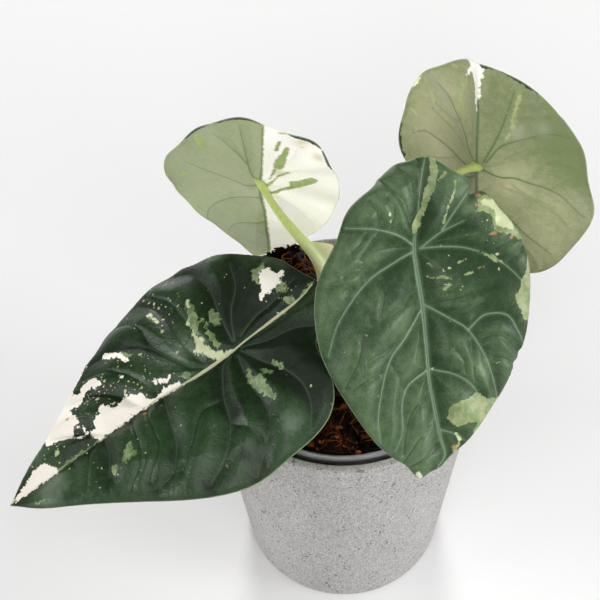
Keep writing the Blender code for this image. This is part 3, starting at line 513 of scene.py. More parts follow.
UNDER_LOOKS = {
    "a": face_look(
        (0.20, 0.26, 0.14), (0.32, 0.38, 0.23), (0.13, 0.21, 0.08), (0.40, 0.46, 0.30),
        main_share=0.7, furrow_shade=0.25, sheen=0.04),
    "b": face_look(
        (0.20, 0.27, 0.14), (0.32, 0.39, 0.23), (0.13, 0.22, 0.08), (0.40, 0.46, 0.30),
        main_share=0.7, furrow_shade=0.25, sheen=0.04),
    "c": face_look(
        (0.31, 0.37, 0.20), (0.43, 0.46, 0.30), (0.14, 0.25, 0.08), (0.48, 0.51, 0.36),
        main_share=0.75, furrow_shade=0.12, sheen=0.04),
    "d": face_look(
        (0.20, 0.25, 0.11), (0.44, 0.44, 0.28), (0.10, 0.18, 0.06), (0.66, 0.65, 0.47),
        main_share=0.8, furrow_shade=0.35, sheen=0.04),
}
CREAM_UPPER = (0.91, 0.86, 0.76)
CREAM_UNDER = (0.97, 0.905, 0.87)
LIMES = {
    "a": ((0.13, 0.20, 0.08), (0.27, 0.35, 0.16)),
    "b": ((0.19, 0.26, 0.095), (0.33, 0.37, 0.175)),
    "c": ((0.36, 0.46, 0.16), (0.46, 0.54, 0.26)),
    "d": ((0.38, 0.44, 0.19), (0.50, 0.53, 0.29)),
}
PALE = (0.62, 0.68, 0.40)
PALE_EDGE = (0.34, 0.42, 0.25)
UNDER_GLOW = (0.5, 0.95)
RIB_CREAM = (0.62, 0.63, 0.40)
CURLED_RIM = (0.014, 0.036, 0.020)
# Grey of the painted shade where a blade's darker upper face shows through
SHADE_GREY = (0.44, 0.45, 0.36)
RUST = (0.45, 0.26, 0.13)
DOT = (0.55, 0.60, 0.36)
FLECK = (0.50, 0.54, 0.30)
STALK_FOOT = (0.70, 0.71, 0.44)
STALK_TOP = (0.44, 0.55, 0.14)
STALK_STREAK = (0.66, 0.68, 0.40)
SHEATH = (0.74, 0.72, 0.48)
CROWN_DARK = (0.060, 0.035, 0.015)
CROWN_BROWN = (0.20, 0.15, 0.07)
CROWN_GREEN = (0.22, 0.24, 0.09)
SOIL_DARK = (0.0015, 0.0008, 0.0006)
SOIL_BROWN = (0.010, 0.004, 0.002)
BARK_DARK = (0.006, 0.002, 0.001)
BARK_ORANGE = (0.27, 0.080, 0.026)
BARK_GRAIN = (0.38, 0.130, 0.048)
BARK_BLACK = (0.003, 0.0012, 0.0008)
CONCRETE_DULL = (0.43, 0.415, 0.405)
CONCRETE = (0.49, 0.475, 0.47)
SAND_DARK = (0.19, 0.185, 0.185)
SAND_PALE = (0.78, 0.77, 0.77)
STREAK_DARK = (0.16, 0.155, 0.16)
PORE_DARK = (0.10, 0.095, 0.10)
PLASTIC_DARK = (0.46, 0.45, 0.48)
PLASTIC_PALE = (0.56, 0.55, 0.58)
FLOOR_DULL = (0.80, 0.795, 0.795)
FLOOR_PALE = (0.82, 0.815, 0.815)


def smooth_curve(knots, values, at):
    """A natural cubic spline whose last end is level."""
    knots, values = np.asarray(knots, float), np.asarray(values, float)
    count = len(knots)
    step = np.diff(knots)
    system, right = np.zeros((count, count)), np.zeros(count)
    system[0, 0] = 1.0
    for i in range(1, count - 1):
        system[i, i - 1], system[i, i + 1] = step[i - 1], step[i]
        system[i, i] = 2 * (step[i - 1] + step[i])
        right[i] = 6 * ((values[i + 1] - values[i]) / step[i] - (values[i] - values[i - 1]) / step[i - 1])
    system[-1, -2], system[-1, -1] = step[-1], 2 * step[-1]
    right[-1] = -6 * (values[-1] - values[-2]) / step[-1]
    bow = np.linalg.solve(system, right)
    i = np.clip(np.searchsorted(knots, at, side="right") - 1, 0, count - 2)
    h, x0, x1 = step[i], knots[i + 1] - at, at - knots[i]
    cubic = (bow[i] * x0**3 + bow[i + 1] * x1**3) / (6 * h)
    return cubic + (values[i] / h - bow[i] * h / 6) * x0 + (values[i + 1] / h - bow[i + 1] * h / 6) * x1


def curve_between(a, b, c, d, step):
    """Points from b nearly to c, about a step apart, on a smooth curve through all four."""
    count = max(1, round(math.hypot(*(c - b)[:2]) / step))
    t = np.arange(count)[:, None] / count
    square, cube = 2 * a - 5 * b + 4 * c - d, 3 * b - a - 3 * c + d
    return 0.5 * (2 * b + (c - a) * t + square * t**2 + cube * t**3)


def smooth_line(knots, step):
    """Points about a step apart on a smooth line through the knots, of any number of columns."""
    knots = np.asarray(knots, float)
    ends = np.vstack((2 * knots[0] - knots[1], knots, 2 * knots[-1] - knots[-2]))
    parts = [curve_between(*four, step) for four in zip(ends, ends[1:], ends[2:], ends[3:])]
    return np.vstack(parts + [knots[-1:]])


def drawn(knots, halves, step):
    """A smooth line given in millimetres, as metres, with its half width in the third column."""
    return smooth_line(np.column_stack((knots, halves)), step) * MM


def tapered(paths, halves):
    """Several veins, each with a half width that goes evenly from the first to the last."""
    return [drawn(knots, np.linspace(*halves, len(knots)), VEIN_STEP) for knots in paths]


def to_line(flat, line):
    """For each flat point, the distance to the nearest point of a line with a half width in its
    third column, less that half width, and the half width there."""
    edge, half = np.full(len(flat), 1.0), np.full(len(flat), line[-1, 2])
    for start, end in zip(line, line[1:]):
        step = end[:2] - start[:2]
        part = np.clip(((flat - start[:2]) @ step) / max(step @ step, 1e-12), 0, 1)
        away = flat - start[:2] - part[:, None] * step
        wide = start[2] + (end[2] - start[2]) * part
        found = np.hypot(away[:, 0], away[:, 1]) - wide
        closer = found < edge
        edge[closer], half[closer] = found[closer], wide[closer]
    return edge, half


def to_lines(flat, lines, reach):
    """The same for several lines, and exact only within reach of one."""
    edge, half = np.full(len(flat), reach), np.full(len(flat), 0.2 * MM)
    for line in lines:
        low, high = line[:, :2].min(axis=0) - reach, line[:, :2].max(axis=0) + reach
        near = ((flat > low) & (flat < high)).all(axis=1)
        if not near.any():
            continue
        found, wide = to_line(flat[near], line)
        index = np.flatnonzero(near)[found < edge[near]]
        closer = found < edge[near]
        edge[index], half[index] = found[closer], wide[closer]
    return edge, half


def to_area(flat, corners):
    """The distance to a closed outline, less than zero inside it."""
    ring = np.vstack((corners, corners[:1]))
    line = np.column_stack((ring, np.zeros(len(ring))))
    away, _ = to_line(flat, line)
    inside = np.zeros(len(flat), bool)
    for (x0, y0), (x1, y1) in zip(ring, ring[1:]):
        if y0 != y1:
            crosses = (y0 > flat[:, 1]) != (y1 > flat[:, 1])
            inside ^= crosses & (flat[:, 0] < x0 + (flat[:, 1] - y0) * (x1 - x0) / (y1 - y0))
    return np.where(inside, -away, away)


def rounded(corners, step):
    """A closed outline through the corners, with its corners rounded."""
    corners = np.asarray(corners, float)
    ring = np.vstack((corners[-1:], corners, corners[:2]))
    return np.vstack([curve_between(*four, step) for four in zip(ring, ring[1:], ring[2:], ring[3:])])


def ripple(flat, chance, count, shortest, longest):
    """A smooth uneven height of about unit size, from waves in all directions."""
    total = np.zeros(len(flat))
    for _ in range(count):
        turn, phase = chance.uniform(0, 2 * math.pi, 2)
        length = chance.uniform(shortest, longest)
        way = np.array((math.cos(turn), math.sin(turn))) * 2 * math.pi / length
        total += np.sin(flat @ way + phase)
    return total / math.sqrt(count)


def flat_net(outline, ribs, spacing, keep_from_edge=0.6):
    """Triangles inside a flat outline, with edges along the ribs."""
    fixed = np.vstack([outline] + ribs)
    low, high = fixed.min(axis=0), fixed.max(axis=0)
    row_height = spacing * math.sqrt(0.75)
    rows = int((high[1] - low[1]) / row_height) + 1
    columns = int((high[0] - low[0]) / spacing) + 2
    column, row = np.meshgrid(np.arange(columns), np.arange(rows))
    x = low[0] + (column + 0.5 * (row % 2)) * spacing
    y = low[1] + (row + 0.5) * row_height
    grid = np.column_stack((x.ravel(), y.ravel()))
    grid = grid[to_area(grid, outline) < -keep_from_edge * spacing]
    lines = [np.column_stack((rib, np.zeros(len(rib)))) for rib in ribs]
    grid = grid[to_lines(grid, lines, 2 * spacing)[0] > keep_from_edge * spacing]
    points = [Vector(p) for p in outline]
    edges = []
    for rib in ribs:
        first = len(points)
        points += [Vector(p) for p in rib]
        edges += [(i, i + 1) for i in range(first, len(points) - 1)]
    points += [Vector(p) for p in grid]
    found = delaunay_2d_cdt(points, edges, [list(range(len(outline)))], 1, 1e-7)
    return np.array([tuple(p) for p in found[0]]), np.array([tuple(face) for face in found[2]])


def split(points, faces):
    """Each triangle as four, and the points with the new ones at the middles of the edges."""
    sides = np.sort(np.vstack((faces[:, (0, 1)], faces[:, (1, 2)], faces[:, (2, 0)])), axis=1)
    unique, place = np.unique(sides, axis=0, return_inverse=True)
    a, b, c = place.reshape(3, -1) + len(points)
    i, j, k = faces.T
    corners = [np.column_stack(group) for group in ((i, a, c), (j, b, a), (k, c, b), (a, b, c))]
    return np.vstack((points, points[unique].mean(axis=1))), np.vstack(corners)


def border_edges(faces, count):
    """The directed edges that belong to one triangle only."""
    directed = np.vstack((faces[:, (0, 1)], faces[:, (1, 2)], faces[:, (2, 0)])).astype(np.int64)
    forward = directed[:, 0] * count + directed[:, 1]
    backward = directed[:, 1] * count + directed[:, 0]
    return directed[~np.isin(forward, backward)]


def point_normals(points, faces):
    a, b, c = (points[faces[:, i]] for i in range(3))
    across = np.cross(b - a, c - a)
    normals = np.zeros_like(points)
    for i in range(3):
        np.add.at(normals, faces[:, i], across)
    return normals / np.linalg.norm(normals, axis=1)[:, None]


class Blade:
    """One leaf blade: its outline laid out flat, and the curved surface that it lies on."""

    def __init__(self, leaf):
        self.leaf = leaf
        heading, dip, turn = (math.radians(leaf[k]) for k in ("heading", "dip", "turn"))
        level = np.array((math.cos(heading), math.sin(heading), 0.0))
        up = np.array((0.0, 0.0, 1.0))
        self.forward = level * math.cos(dip) - up * math.sin(dip)
        normal = level * math.sin(dip) + up * math.cos(dip)
        left = np.cross(normal, self.forward)
        self.left = left * math.cos(turn) + normal * math.sin(turn)
        self.normal = np.cross(self.forward, self.left)

    def radius(self, degrees):
        """The outline's distance from the stalk point, for polar angles from -180 to 180."""
        degrees = np.asarray(degrees, float)
        left = smooth_curve(OUTLINE_ANGLES, self.leaf["left"], abs(degrees))
        right = smooth_curve(OUTLINE_ANGLES, self.leaf["right"], abs(degrees))
        reach = np.where(degrees > 0, left, right)
        for middle, depth, wide in self.leaf["dents"]:
            reach = reach - depth * np.exp(-(((degrees - middle) / wide) ** 2))
        return reach * MM

    def outline(self):
        angles = np.arange(-180, 180, OUTLINE_STEP)
        turns = np.radians(angles)
        return self.radius(angles)[:, None] * np.column_stack((np.cos(turns), np.sin(turns)))

    def share(self, flat):
        """How far out a flat point lies: 0 at the stalk point, 1 at the margin."""
        polar = np.degrees(np.arctan2(flat[:, 1], flat[:, 0]))
        return np.hypot(flat[:, 0], flat[:, 1]) / self.radius(polar)

    def place(self, flat, lift):
        """Points on the blade, at a height over its plain curved surface."""
        along, across = flat[:, 0], flat[:, 1]
        bend, arch, fold = self.leaf["bend"], self.leaf["arch"], self.leaf["fold"]
        angle = bend * along
        run, drop = np.sin(angle) / bend, -(1 - np.cos(angle)) / bend
        tilt = fold - arch * abs(across)
        out = np.sign(across) * (math.sin(fold) - np.sin(tilt)) / arch
        polar = np.arctan2(across, along)
        wave = MARGIN_WAVE * np.clip(self.share(flat), 0, 1) ** 3 * np.sin(MARGIN_WAVES * polar)
        rise = (np.cos(tilt) - math.cos(fold)) / arch + wave + lift
        forward = (run + rise * np.sin(angle))[:, None] * self.forward
        upward = (drop + rise * np.cos(angle))[:, None] * self.normal
        return np.array(self.leaf["point"]) + forward + out[:, None] * self.left + upward


def vein_lines(leaf):
    """The midrib and the main veins, in metres."""
    return [drawn(leaf["midrib"], leaf["midrib_half"], VEIN_STEP)] + tapered(leaf["veins"], VEIN_HALF)


def mark_distance(flat, leaf, colour):
    """The distance to the edge of the nearest mark of a colour, less than zero on the mark."""
    nearest = np.full(len(flat), FAR_MARK)
    for name, corners in leaf["marks"]:
        if name == colour:
            nearest = np.minimum(nearest, to_area(flat, rounded(corners, MARK_STEP) * MM))
    for name, knots, halves in leaf["lines"]:
        if name == colour:
            nearest = np.minimum(nearest, to_line(flat, drawn(knots, halves, MARK_STEP))[0])
    return nearest


def fleck_distance(flat, flecks):
    """The distance in millimetres to the nearest oval of (along, across, half length, half width)."""
    nearest = np.full(len(flat), FAR_FLECK)
    for along, across, length, width in flecks:
        away = np.hypot((flat[:, 0] / MM - along) / length, (flat[:, 1] / MM - across) / width)
        nearest = np.minimum(nearest, (away - 1) * min(length, width))
    return nearest


def soft_spots(flat, spots):
    """The sum of soft round spots, each (along, across, radius, strength)."""
    total = np.zeros(len(flat))
    for along, across, radius, strength in spots:
        away = np.hypot(flat[:, 0] / MM - along, flat[:, 1] / MM - across)
        total += strength * np.exp(-((away / radius) ** 2))
    return total


def curled_rim(blade, polar, margin):
    """The distance in millimetres to where the margin curls over, at polar angles in degrees."""
    nearest = np.full(len(polar), FAR_MARK / MM)
    for start, end, width in blade.leaf["rims"]:
        part = np.mod(polar - start, 360) / (end - start)
        wide = width * np.sqrt(np.sin(np.pi * np.clip(part, 0, 1)))
        nearest = np.where(part < 1, np.minimum(nearest, margin / MM - wide), nearest)
    return nearest


def blade_values(blade, flat, veins, furrows):
    """What the blade's materials read at each point. Lengths are in millimetres."""
    leaf = blade.leaf
    main, half = to_lines(flat, veins, VEINS_SEEN)
    furrow, _ = to_lines(flat, furrows, FURROWS_SEEN)
    marks = {name: mark_distance(flat, leaf, name) for name in ("cream", "green", "lime", "pale", "clean")}
    polar = np.degrees(np.arctan2(flat[:, 1], flat[:, 0]))
    margin = blade.radius(polar) - np.hypot(flat[:, 0], flat[:, 1])
    # The soft spots of tone are painted light and shade, and the grey spots are painted shade.
    return {
        "main": main / MM, "half": half / MM, "furrow": furrow / MM, "margin": margin / MM,
        "cream": np.maximum(marks["cream"], -marks["green"]) / MM,
        "lime": np.minimum(marks["lime"], marks["green"]) / MM,
        "pale": marks["pale"] / MM, "clean": marks["clean"] / MM,
        "dark": curled_rim(blade, polar, margin), "shade_spot": soft_spots(flat, leaf["shade_spots"]),
        "speck": soft_spots(flat, leaf["specks"]), "tone_light_and_shade": soft_spots(flat, leaf["light_and_shade_spots"]),
        "rust": fleck_distance(flat, leaf["rust"]), "fleck": fleck_distance(flat, leaf["flecks"]),
    }


def blade_heights(blade, flat, values, midrib):
    """The sheet's height over its plain curve: valley, pillows, creases, grooves and waves."""
    leaf, share = blade.leaf, blade.share(flat)
    apart = np.clip(values["main"], 0, None) * MM
    off_furrow = np.clip(values["furrow"], 0, None) * MM
    off_midrib = np.clip(to_line(flat, midrib)[0], 0, None)
    pillow = leaf["pillow"] * (1 - np.exp(-((apart / PILLOW_REACH) ** 2)))
    pillow += leaf["crease"] * (1 - np.exp(-apart / CREASE_REACH))
    pillow += leaf["valley"] * (1 - np.exp(-off_midrib / VALLEY_REACH))
    groove = -leaf["groove"] * np.exp(-off_furrow / FURROW_REACH)
    groove = groove * (1 - np.exp(-((apart / FURROW_END) ** 2)))
    chance = np.random.default_rng(leaf["seed"])
    uneven = sum(
        height * ripple(flat, chance, count, short * MM, long * MM)
        for height, count, short, long in SWELLS)
    uneven *= np.clip(5 * share, 0, 1)
    fade = np.clip(4 * (1 - share), 0, 1) ** 0.5
    return (pillow * fade + groove + uneven) * MM


def blade_skin(blade, sheet, faces, values):
    """The closed blade: its points, four groups of faces, and the flat point under each point."""
    rim = border_edges(faces, len(sheet))
    at_rim = np.unique(rim)
    normals = point_normals(sheet, faces)
    middle = (values["main"] + values["half"]) / values["half"]
    cord = np.exp(-0.8 * middle**2) - 0.45 * np.exp(-((middle / 0.3) ** 2))
    cord = cord * values["half"] * MM
    upper = sheet + (blade.leaf["cord"] * cord)[:, None] * normals
    lower = sheet - (BLADE_THICKNESS + blade.leaf["rib"] * cord)[:, None] * normals
    outward = sheet[at_rim] - np.array(blade.leaf["point"])
    outward -= (outward * normals[at_rim]).sum(axis=1)[:, None] * normals[at_rim]
    outward /= np.linalg.norm(outward, axis=1)[:, None]
    edge = sheet[at_rim] + BLADE_THICKNESS * (0.45 * outward - 0.5 * normals[at_rim])
    count = len(sheet)
    ring = np.zeros(count, np.int64)
    ring[at_rim] = 2 * count + np.arange(len(at_rim))
    start, end = rim.T
    above = ((end, start, ring[start]), (end, ring[start], ring[end]))
    below = ((ring[end], ring[start], start + count), (ring[end], start + count, end + count))
    above, below = (np.vstack([np.column_stack(group) for group in pair]) for pair in (above, below))
    where = np.concatenate((np.arange(count), np.arange(count), at_rim))
    return np.vstack((upper, lower, edge)), (faces, above, faces[:, ::-1] + count, below), where


def build_blade(letter):
    """One blade, with all that its two materials read kept on its points."""
    leaf = LEAVES[letter]
    blade = Blade(leaf)
    veins, furrows = vein_lines(leaf), tapered(leaf["furrows"], FURROW_HALF)
    ribs = [line[blade.share(line[:, :2]) < RIBS_END][:, :2] for line in veins + furrows]
    flat, faces = split(*flat_net(blade.outline(), [rib for rib in ribs if len(rib) > 1], BLADE_SPACING))
    at_rim = np.unique(border_edges(faces, len(flat)))
    flat[at_rim] /= blade.share(flat[at_rim])[:, None]
    values = blade_values(blade, flat, veins, furrows)
    sheet = blade.place(flat, blade_heights(blade, flat, values, veins[0]))
    points, groups, where = blade_skin(blade, sheet, faces, values)
    mesh = bpy.data.meshes.new("blade_" + letter)
    mesh.from_pydata(points.tolist(), [], np.vstack(groups).tolist())
    mesh.shade_smooth()
    for upper in (True, False):
        mesh.materials.append(blade_material(letter, upper))
    sides = np.concatenate([np.full(len(group), i // 2) for i, group in enumerate(groups)])
    mesh.polygons.foreach_set("material_index", sides.astype(np.int32))
    for name, value in values.items():
        store(mesh, name, value[where])
    spread = np.column_stack((flat[where] / MM, np.zeros(len(where))))
    place = mesh.attributes.new("flat_mm", "FLOAT_VECTOR", "POINT")
    place.data.foreach_set("vector", spread.astype(np.float32).ravel())
    return add_piece("blade_" + letter, mesh, "leaf_" + letter)


def add_piece(name, mesh, node):
    made = bpy.data.objects.new(name, mesh)
    bpy.context.scene.collection.objects.link(made)
    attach(made, "root")
    if node:
        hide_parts(node)
    return made


def plain_mesh(name, points, faces, material):
    mesh = bpy.data.meshes.new(name)
    mesh.from_pydata([tuple(p) for p in points], [], [tuple(f) for f in faces])
    mesh.shade_smooth()
    mesh.materials.append(material)
    return mesh


def store(mesh, name, values):
    """Keep one number for each point, for a material to read."""
    stored = mesh.attributes.new(name, "FLOAT", "POINT")
    stored.data.foreach_set("value", np.asarray(values).astype(np.float32))


def tube_faces(first, rings, sides):
    """The faces of a closed tube whose rings of points start at first."""
    faces = []
    for ring in range(rings - 1):
        for i in range(sides):
            a, b = first + ring * sides + i, first + ring * sides + (i + 1) % sides
            faces.append((a, b, b + sides, a + sides))
    last = first + (rings - 1) * sides
    faces.append(tuple(reversed(range(first, first + sides))))
    faces.append(tuple(range(last, last + sides)))
    return faces


class Shader:
    """A material's node tree, built one node at a time."""

    def __init__(self, name):
        self.material = bpy.data.materials.new(name)
        self.material.use_nodes = True
        self.tree = self.material.node_tree
        self.surface = self.tree.nodes["Principled BSDF"]

    def feed(self, socket, value):
        if isinstance(value, bpy.types.NodeSocket):
            self.tree.links.new(value, socket)
        elif isinstance(value, tuple) and len(value) == 3 and socket.type == "RGBA":
            socket.default_value = (*value, 1.0)
        else:
            socket.default_value = value

    def node(self, kind, inputs, **settings):
        made = self.tree.nodes.new(kind)
        for name, value in settings.items():
            setattr(made, name, value)
        for name, value in inputs.items():
            self.feed(made.inputs[name], value)
        return made

    def set(self, **inputs):
        for name, value in inputs.items():
            self.feed(self.surface.inputs[name.replace("_", " ")], value)

    def read(self, name, output="Fac"):
        return self.node("ShaderNodeAttribute", {}, attribute_name=name).outputs[output]

    def object_place(self):
        return self.node("ShaderNodeTexCoord", {}).outputs["Object"]

    def math(self, operation, *values):
        return self.node("ShaderNodeMath", dict(enumerate(values)), operation=operation).outputs[0]

    def vector(self, operation, *values):
        return self.node("ShaderNodeVectorMath", dict(enumerate(values)), operation=operation).outputs[0]

    def step(self, value, low, high, start=0.0, end=1.0):
        """A smooth step from start to end as the value goes from low to high."""
        inputs = {"Value": value, "From Min": low, "From Max": high, "To Min": start, "To Max": end}
        return self.node("ShaderNodeMapRange", inputs, interpolation_type="SMOOTHSTEP").outputs["Result"]

    def blend(self, share, first, second):
        """The first colour at a share of 0, the second at 1."""
        made = self.node("ShaderNodeMix", {0: share, 6: first, 7: second}, data_type="RGBA")
        return made.outputs[2]

    def noise(self, place, scale, detail=2.0, roughness=0.5):
        inputs = {"Vector": place, "Scale": scale, "Detail": detail, "Roughness": roughness}
        return self.node("ShaderNodeTexNoise", inputs).outputs["Fac"]

    def shift(self, place, scale, amount):
        """The place, moved unevenly by about the amount."""
        noise = self.node("ShaderNodeTexNoise", {"Vector": place, "Scale": scale}).outputs["Color"]
        middle = self.vector("SUBTRACT", noise, (0.5, 0.5, 0.5))
        return self.vector("MULTIPLY_ADD", middle, (amount, amount, amount), place)

    def cells(self, place, scale, output="Distance", feature="F1"):
        made = self.node("ShaderNodeTexVoronoi", {"Vector": place, "Scale": scale}, feature=feature)
        return made.outputs[output]

    def stretch(self, place, factors):
        return self.vector("MULTIPLY", place, factors)

    def bump(self, height, distance):
        inputs = {"Height": height, "Distance": distance}
        self.set(Normal=self.node("ShaderNodeBump", inputs).outputs["Normal"])


def leaf_green(shader, flat, look, upper):
    """A face's green with its veins, and the noise values that the rest of the material uses."""
    step, blend, combine = shader.step, shader.blend, shader.math
    main, furrow, half = (shader.read(name) for name in ("main", "furrow", "half"))
    mottle = shader.noise(flat, 0.28, 4.0, 0.6)
    grain = shader.noise(shader.stretch(flat, (0.8, 2.0, 1.0)), 1.6, 2.0, 0.6)
    net = shader.cells(shader.shift(flat, 0.25, 4.0), 0.20, feature="DISTANCE_TO_EDGE")
    net = step(net, 0.0, 0.08, 1.0, 0.0)
    spread = 0.15 if upper else 0.11
    # The listed spots of tone are painted light and shade; the noise adds the leaf's own uneven tone.
    tone_light_and_shade = combine("MULTIPLY_ADD", shader.read("tone_light_and_shade"), 0.35, 0.45)
    tone_light_and_shade = combine("ADD", tone_light_and_shade, step(mottle, 0.3, 0.7, -spread, spread))
    tone_light_and_shade = combine("ADD", tone_light_and_shade, step(grain, 0.3, 0.7, -0.17, 0.17))
    # Painted shade beside the main veins and painted light on the pillows between them.
    if upper:
        tone_light_and_shade = combine("ADD", tone_light_and_shade, step(main, 0.3, 7.0, -0.26, 0.12))
    core = step(combine("ADD", main, half), 0.08, 0.28, 1.0, 0.0)
    green = blend(step(tone_light_and_shade, 0.0, 1.0), look["deep"], look["bright"])
    # Painted sheen: the green turns to a pale grey-green where the tone runs highest.
    green = blend(step(tone_light_and_shade, 0.9, 1.9, 0.0, 0.8), green, look["painted_sheen"])
    green = blend(combine("MULTIPLY", net, 0.05), green, look["vein"])
    # Painted shade along the furrows, darkening them towards the deep green.
    green = blend(step(furrow, 0.05, 0.55, look["furrow_shade"], 0.0), green, look["deep"])
    green = blend(step(main, 0.0, 1.3, look["halo"], 0.0), green, look["vein"])
    green = blend(step(main, -0.20, 0.20, look["main_share"], 0.0), green, look["vein"])
    green = blend(combine("MULTIPLY", core, step(half, 0.60, 0.85, 0.0, 0.7)), green, look["deep"])
    return green, tone_light_and_shade, mottle, grain, net


def dot_cover(shader, flat):
    """How far small round dots cover a point. They lie closer where the speck value is higher."""
    torn = shader.shift(flat, 1.3, 0.9)
    dots = shader.node("ShaderNodeSeparateColor", {"Color": shader.cells(torn, 0.95, "Color")})
    size = shader.step(dots.outputs[0], 0.0, 1.0, -0.44, -0.16)
    near = shader.step(shader.math("ADD", shader.cells(torn, 0.95), size), -0.06, 0.06, 1.0, 0.0)
    chosen = shader.step(shader.math("SUBTRACT", shader.read("speck"), dots.outputs[1]), -0.01, 0.02)
    return shader.math("MULTIPLY", shader.math("MULTIPLY", chosen, near), 0.85)


def blade_material(letter, upper):
    """One face of a blade: green, its veins, and the cream and lime marks that run through it."""
    leaf = LEAVES[letter]
    look = (UPPER_LOOKS if upper else UNDER_LOOKS)[letter]
    shader = Shader(f"leaf_{letter}_" + ("upper" if upper else "under"))
    flat = shader.read("flat_mm", "Vector")
    green, tone_light_and_shade, mottle, grain, net = leaf_green(shader, flat, look, upper)
    reach = 1.5 * leaf["rag"]
    rag = shader.step(shader.noise(flat, 0.42, 5.0, 0.66), 0.3, 0.7, -reach, reach)
    soft = 0.12 if upper else 0.55

    def cover(name, softness, most=1.0, ragged=rag):
        """How far a mark covers a point: most inside its edge, which is soft and ragged."""
        return shader.step(shader.math("ADD", shader.read(name), ragged), -softness, softness, most, 0.0)

    lime = shader.blend(shader.step(shader.noise(flat, 0.22, 5.0, 0.65), 0.40, 0.60), *LIMES[letter])
    lime = shader.blend(shader.step(grain, 0.40, 0.75, 0.0, 0.35), lime, look["vein"])
    cream_share, dark_share = cover("cream", soft), cover("dark", 0.2, 0.95)
    colour = green
    # Among these, the grey spots are painted shade where the darker upper face shows through the blade.
    for share, paint in (
        (cover("lime", soft), lime), (dot_cover(shader, flat), DOT),
        (cover("fleck", 0.15, 0.9, shader.math("MULTIPLY", rag, 0.6)), FLECK),
        (cover("pale", 4 * soft, 0.9), PALE), (cream_share, CREAM_UPPER if upper else CREAM_UNDER),
        (cover("clean", 0.15, 0.9, 0.0), RIB_CREAM), (shader.read("shade_spot"), SHADE_GREY),
        (dark_share, CURLED_RIM), (shader.step(shader.read("margin"), 0.05, 0.35, 0.45, 0.0), PALE_EDGE),
        (cover("rust", 0.4, 0.8), RUST),
    ):
        colour = shader.blend(share, colour, paint)
    rough = shader.step(tone_light_and_shade, -0.4, 0.6, 0.75, shader.step(mottle, 0.2, 0.8, 0.34, 0.44))
    shader.set(Base_Color=colour, Roughness=shader.step(shader.read("margin"), 0.3, 2.5, 0.8, rough))
    shader.set(Specular_IOR_Level=0.32, Sheen_Weight=look["sheen"], Sheen_Roughness=0.45)
    if not upper:
        glow = shader.math("SUBTRACT", shader.step(cream_share, 0.0, 1.0, *UNDER_GLOW), dark_share)
        shader.set(Subsurface_Weight=glow, Subsurface_Scale=1.0 * MM, Subsurface_Radius=(1.0, 1.0, 0.7))
    shader.bump(shader.math("SUBTRACT", grain, net), 0.05 * MM)
    return shader.material


def stalk_curve(letter):
    """The stalk's knots, from just inside the crown to the blade's underside."""
    stalk, blade = STALKS[letter], Blade(LEAVES[letter])
    heading, rise = math.radians(stalk["heading"]), math.radians(stalk["rise"])
    from_crown = np.array((
        math.cos(rise) * math.cos(heading), math.cos(rise) * math.sin(heading), math.sin(rise)))
    foot = np.array(CROWN) + (CROWN_RADIUS - 1.5 * MM) * from_crown
    head = np.array(LEAVES[letter]["point"]) - 0.9 * BLADE_THICKNESS * blade.normal
    return [foot, *(np.array(p) for p in stalk["inner"]), head], from_crown, blade.normal


def stalk_ring(stalk, t, centre, tangent, turns):
    """One ring round a stalk, with its sheath's wing to one side, and how thin the wing is there."""
    fin = np.array(stalk["fin"])
    side = fin - tangent * (fin @ tangent)
    side = side / np.linalg.norm(side)
    other = np.cross(tangent, side)
    radius = np.interp(t, (0, 0.5, 1), stalk["radii"])
    radius *= 1 + 0.5 * math.exp(-(1 - t) / 0.03) + 0.25 * math.exp(-t / 0.06)
    share = min(1.0, t / stalk["fin_share"])
    sheath = stalk["fin_width"] * max(0.0, math.sin(math.pi * share**1.5)) ** 0.6
    sheath *= 1 + 0.05 * math.sin(31 * t) + 0.03 * math.sin(67 * t + 1)
    reach = radius + sheath * np.exp(-((abs(turns) / 0.16) ** 1.3))
    ring = centre + reach[:, None] * (np.cos(turns)[:, None] * side + np.sin(turns)[:, None] * other)
    return ring, np.clip((reach - 1.3 * radius) / stalk["fin_width"], 0, 1)


def build_stalk(letter):
    """A leaf stalk: a tube on its curve, whose ends are cut flush with the crown and the blade."""
    stalk = STALKS[letter]
    knots, from_crown, to_blade = stalk_curve(letter)
    spread = np.linspace(-1, 1, STALK_SIDES, endpoint=False)
    turns = math.pi * np.sign(spread) * abs(spread) ** 1.7
    points, ups, thins = [], [], []
    for index in range(STALK_RINGS):
        t = index / (STALK_RINGS - 1)
        weights = ((1 - t) ** 3, 3 * t * (1 - t) ** 2, 3 * t * t * (1 - t), t**3)
        centre = sum(w * k for w, k in zip(weights, knots))
        slopes = (3 * (1 - t) ** 2, 6 * t * (1 - t), 3 * t * t)
        tangent = sum(w * (knots[i + 1] - knots[i]) for i, w in enumerate(slopes))
        tangent = tangent / np.linalg.norm(tangent)
        ring, thin = stalk_ring(stalk, t, centre, tangent, turns)
        flush = {0: from_crown, STALK_RINGS - 1: to_blade}.get(index)
        if flush is not None:
            ring += tangent * (((centre - ring) @ flush) / (tangent @ flush))[:, None]
        points.append(ring)
        ups += [t] * STALK_SIDES
        thins.append(thin)
    faces = tube_faces(0, STALK_RINGS, STALK_SIDES)
    mesh = plain_mesh("stalk_" + letter, np.vstack(points), faces, stalk_material())
    store(mesh, "up_share", ups)
    store(mesh, "thin", np.concatenate(thins))
    return add_piece("stalk_" + letter, mesh, "petiole_" + letter)


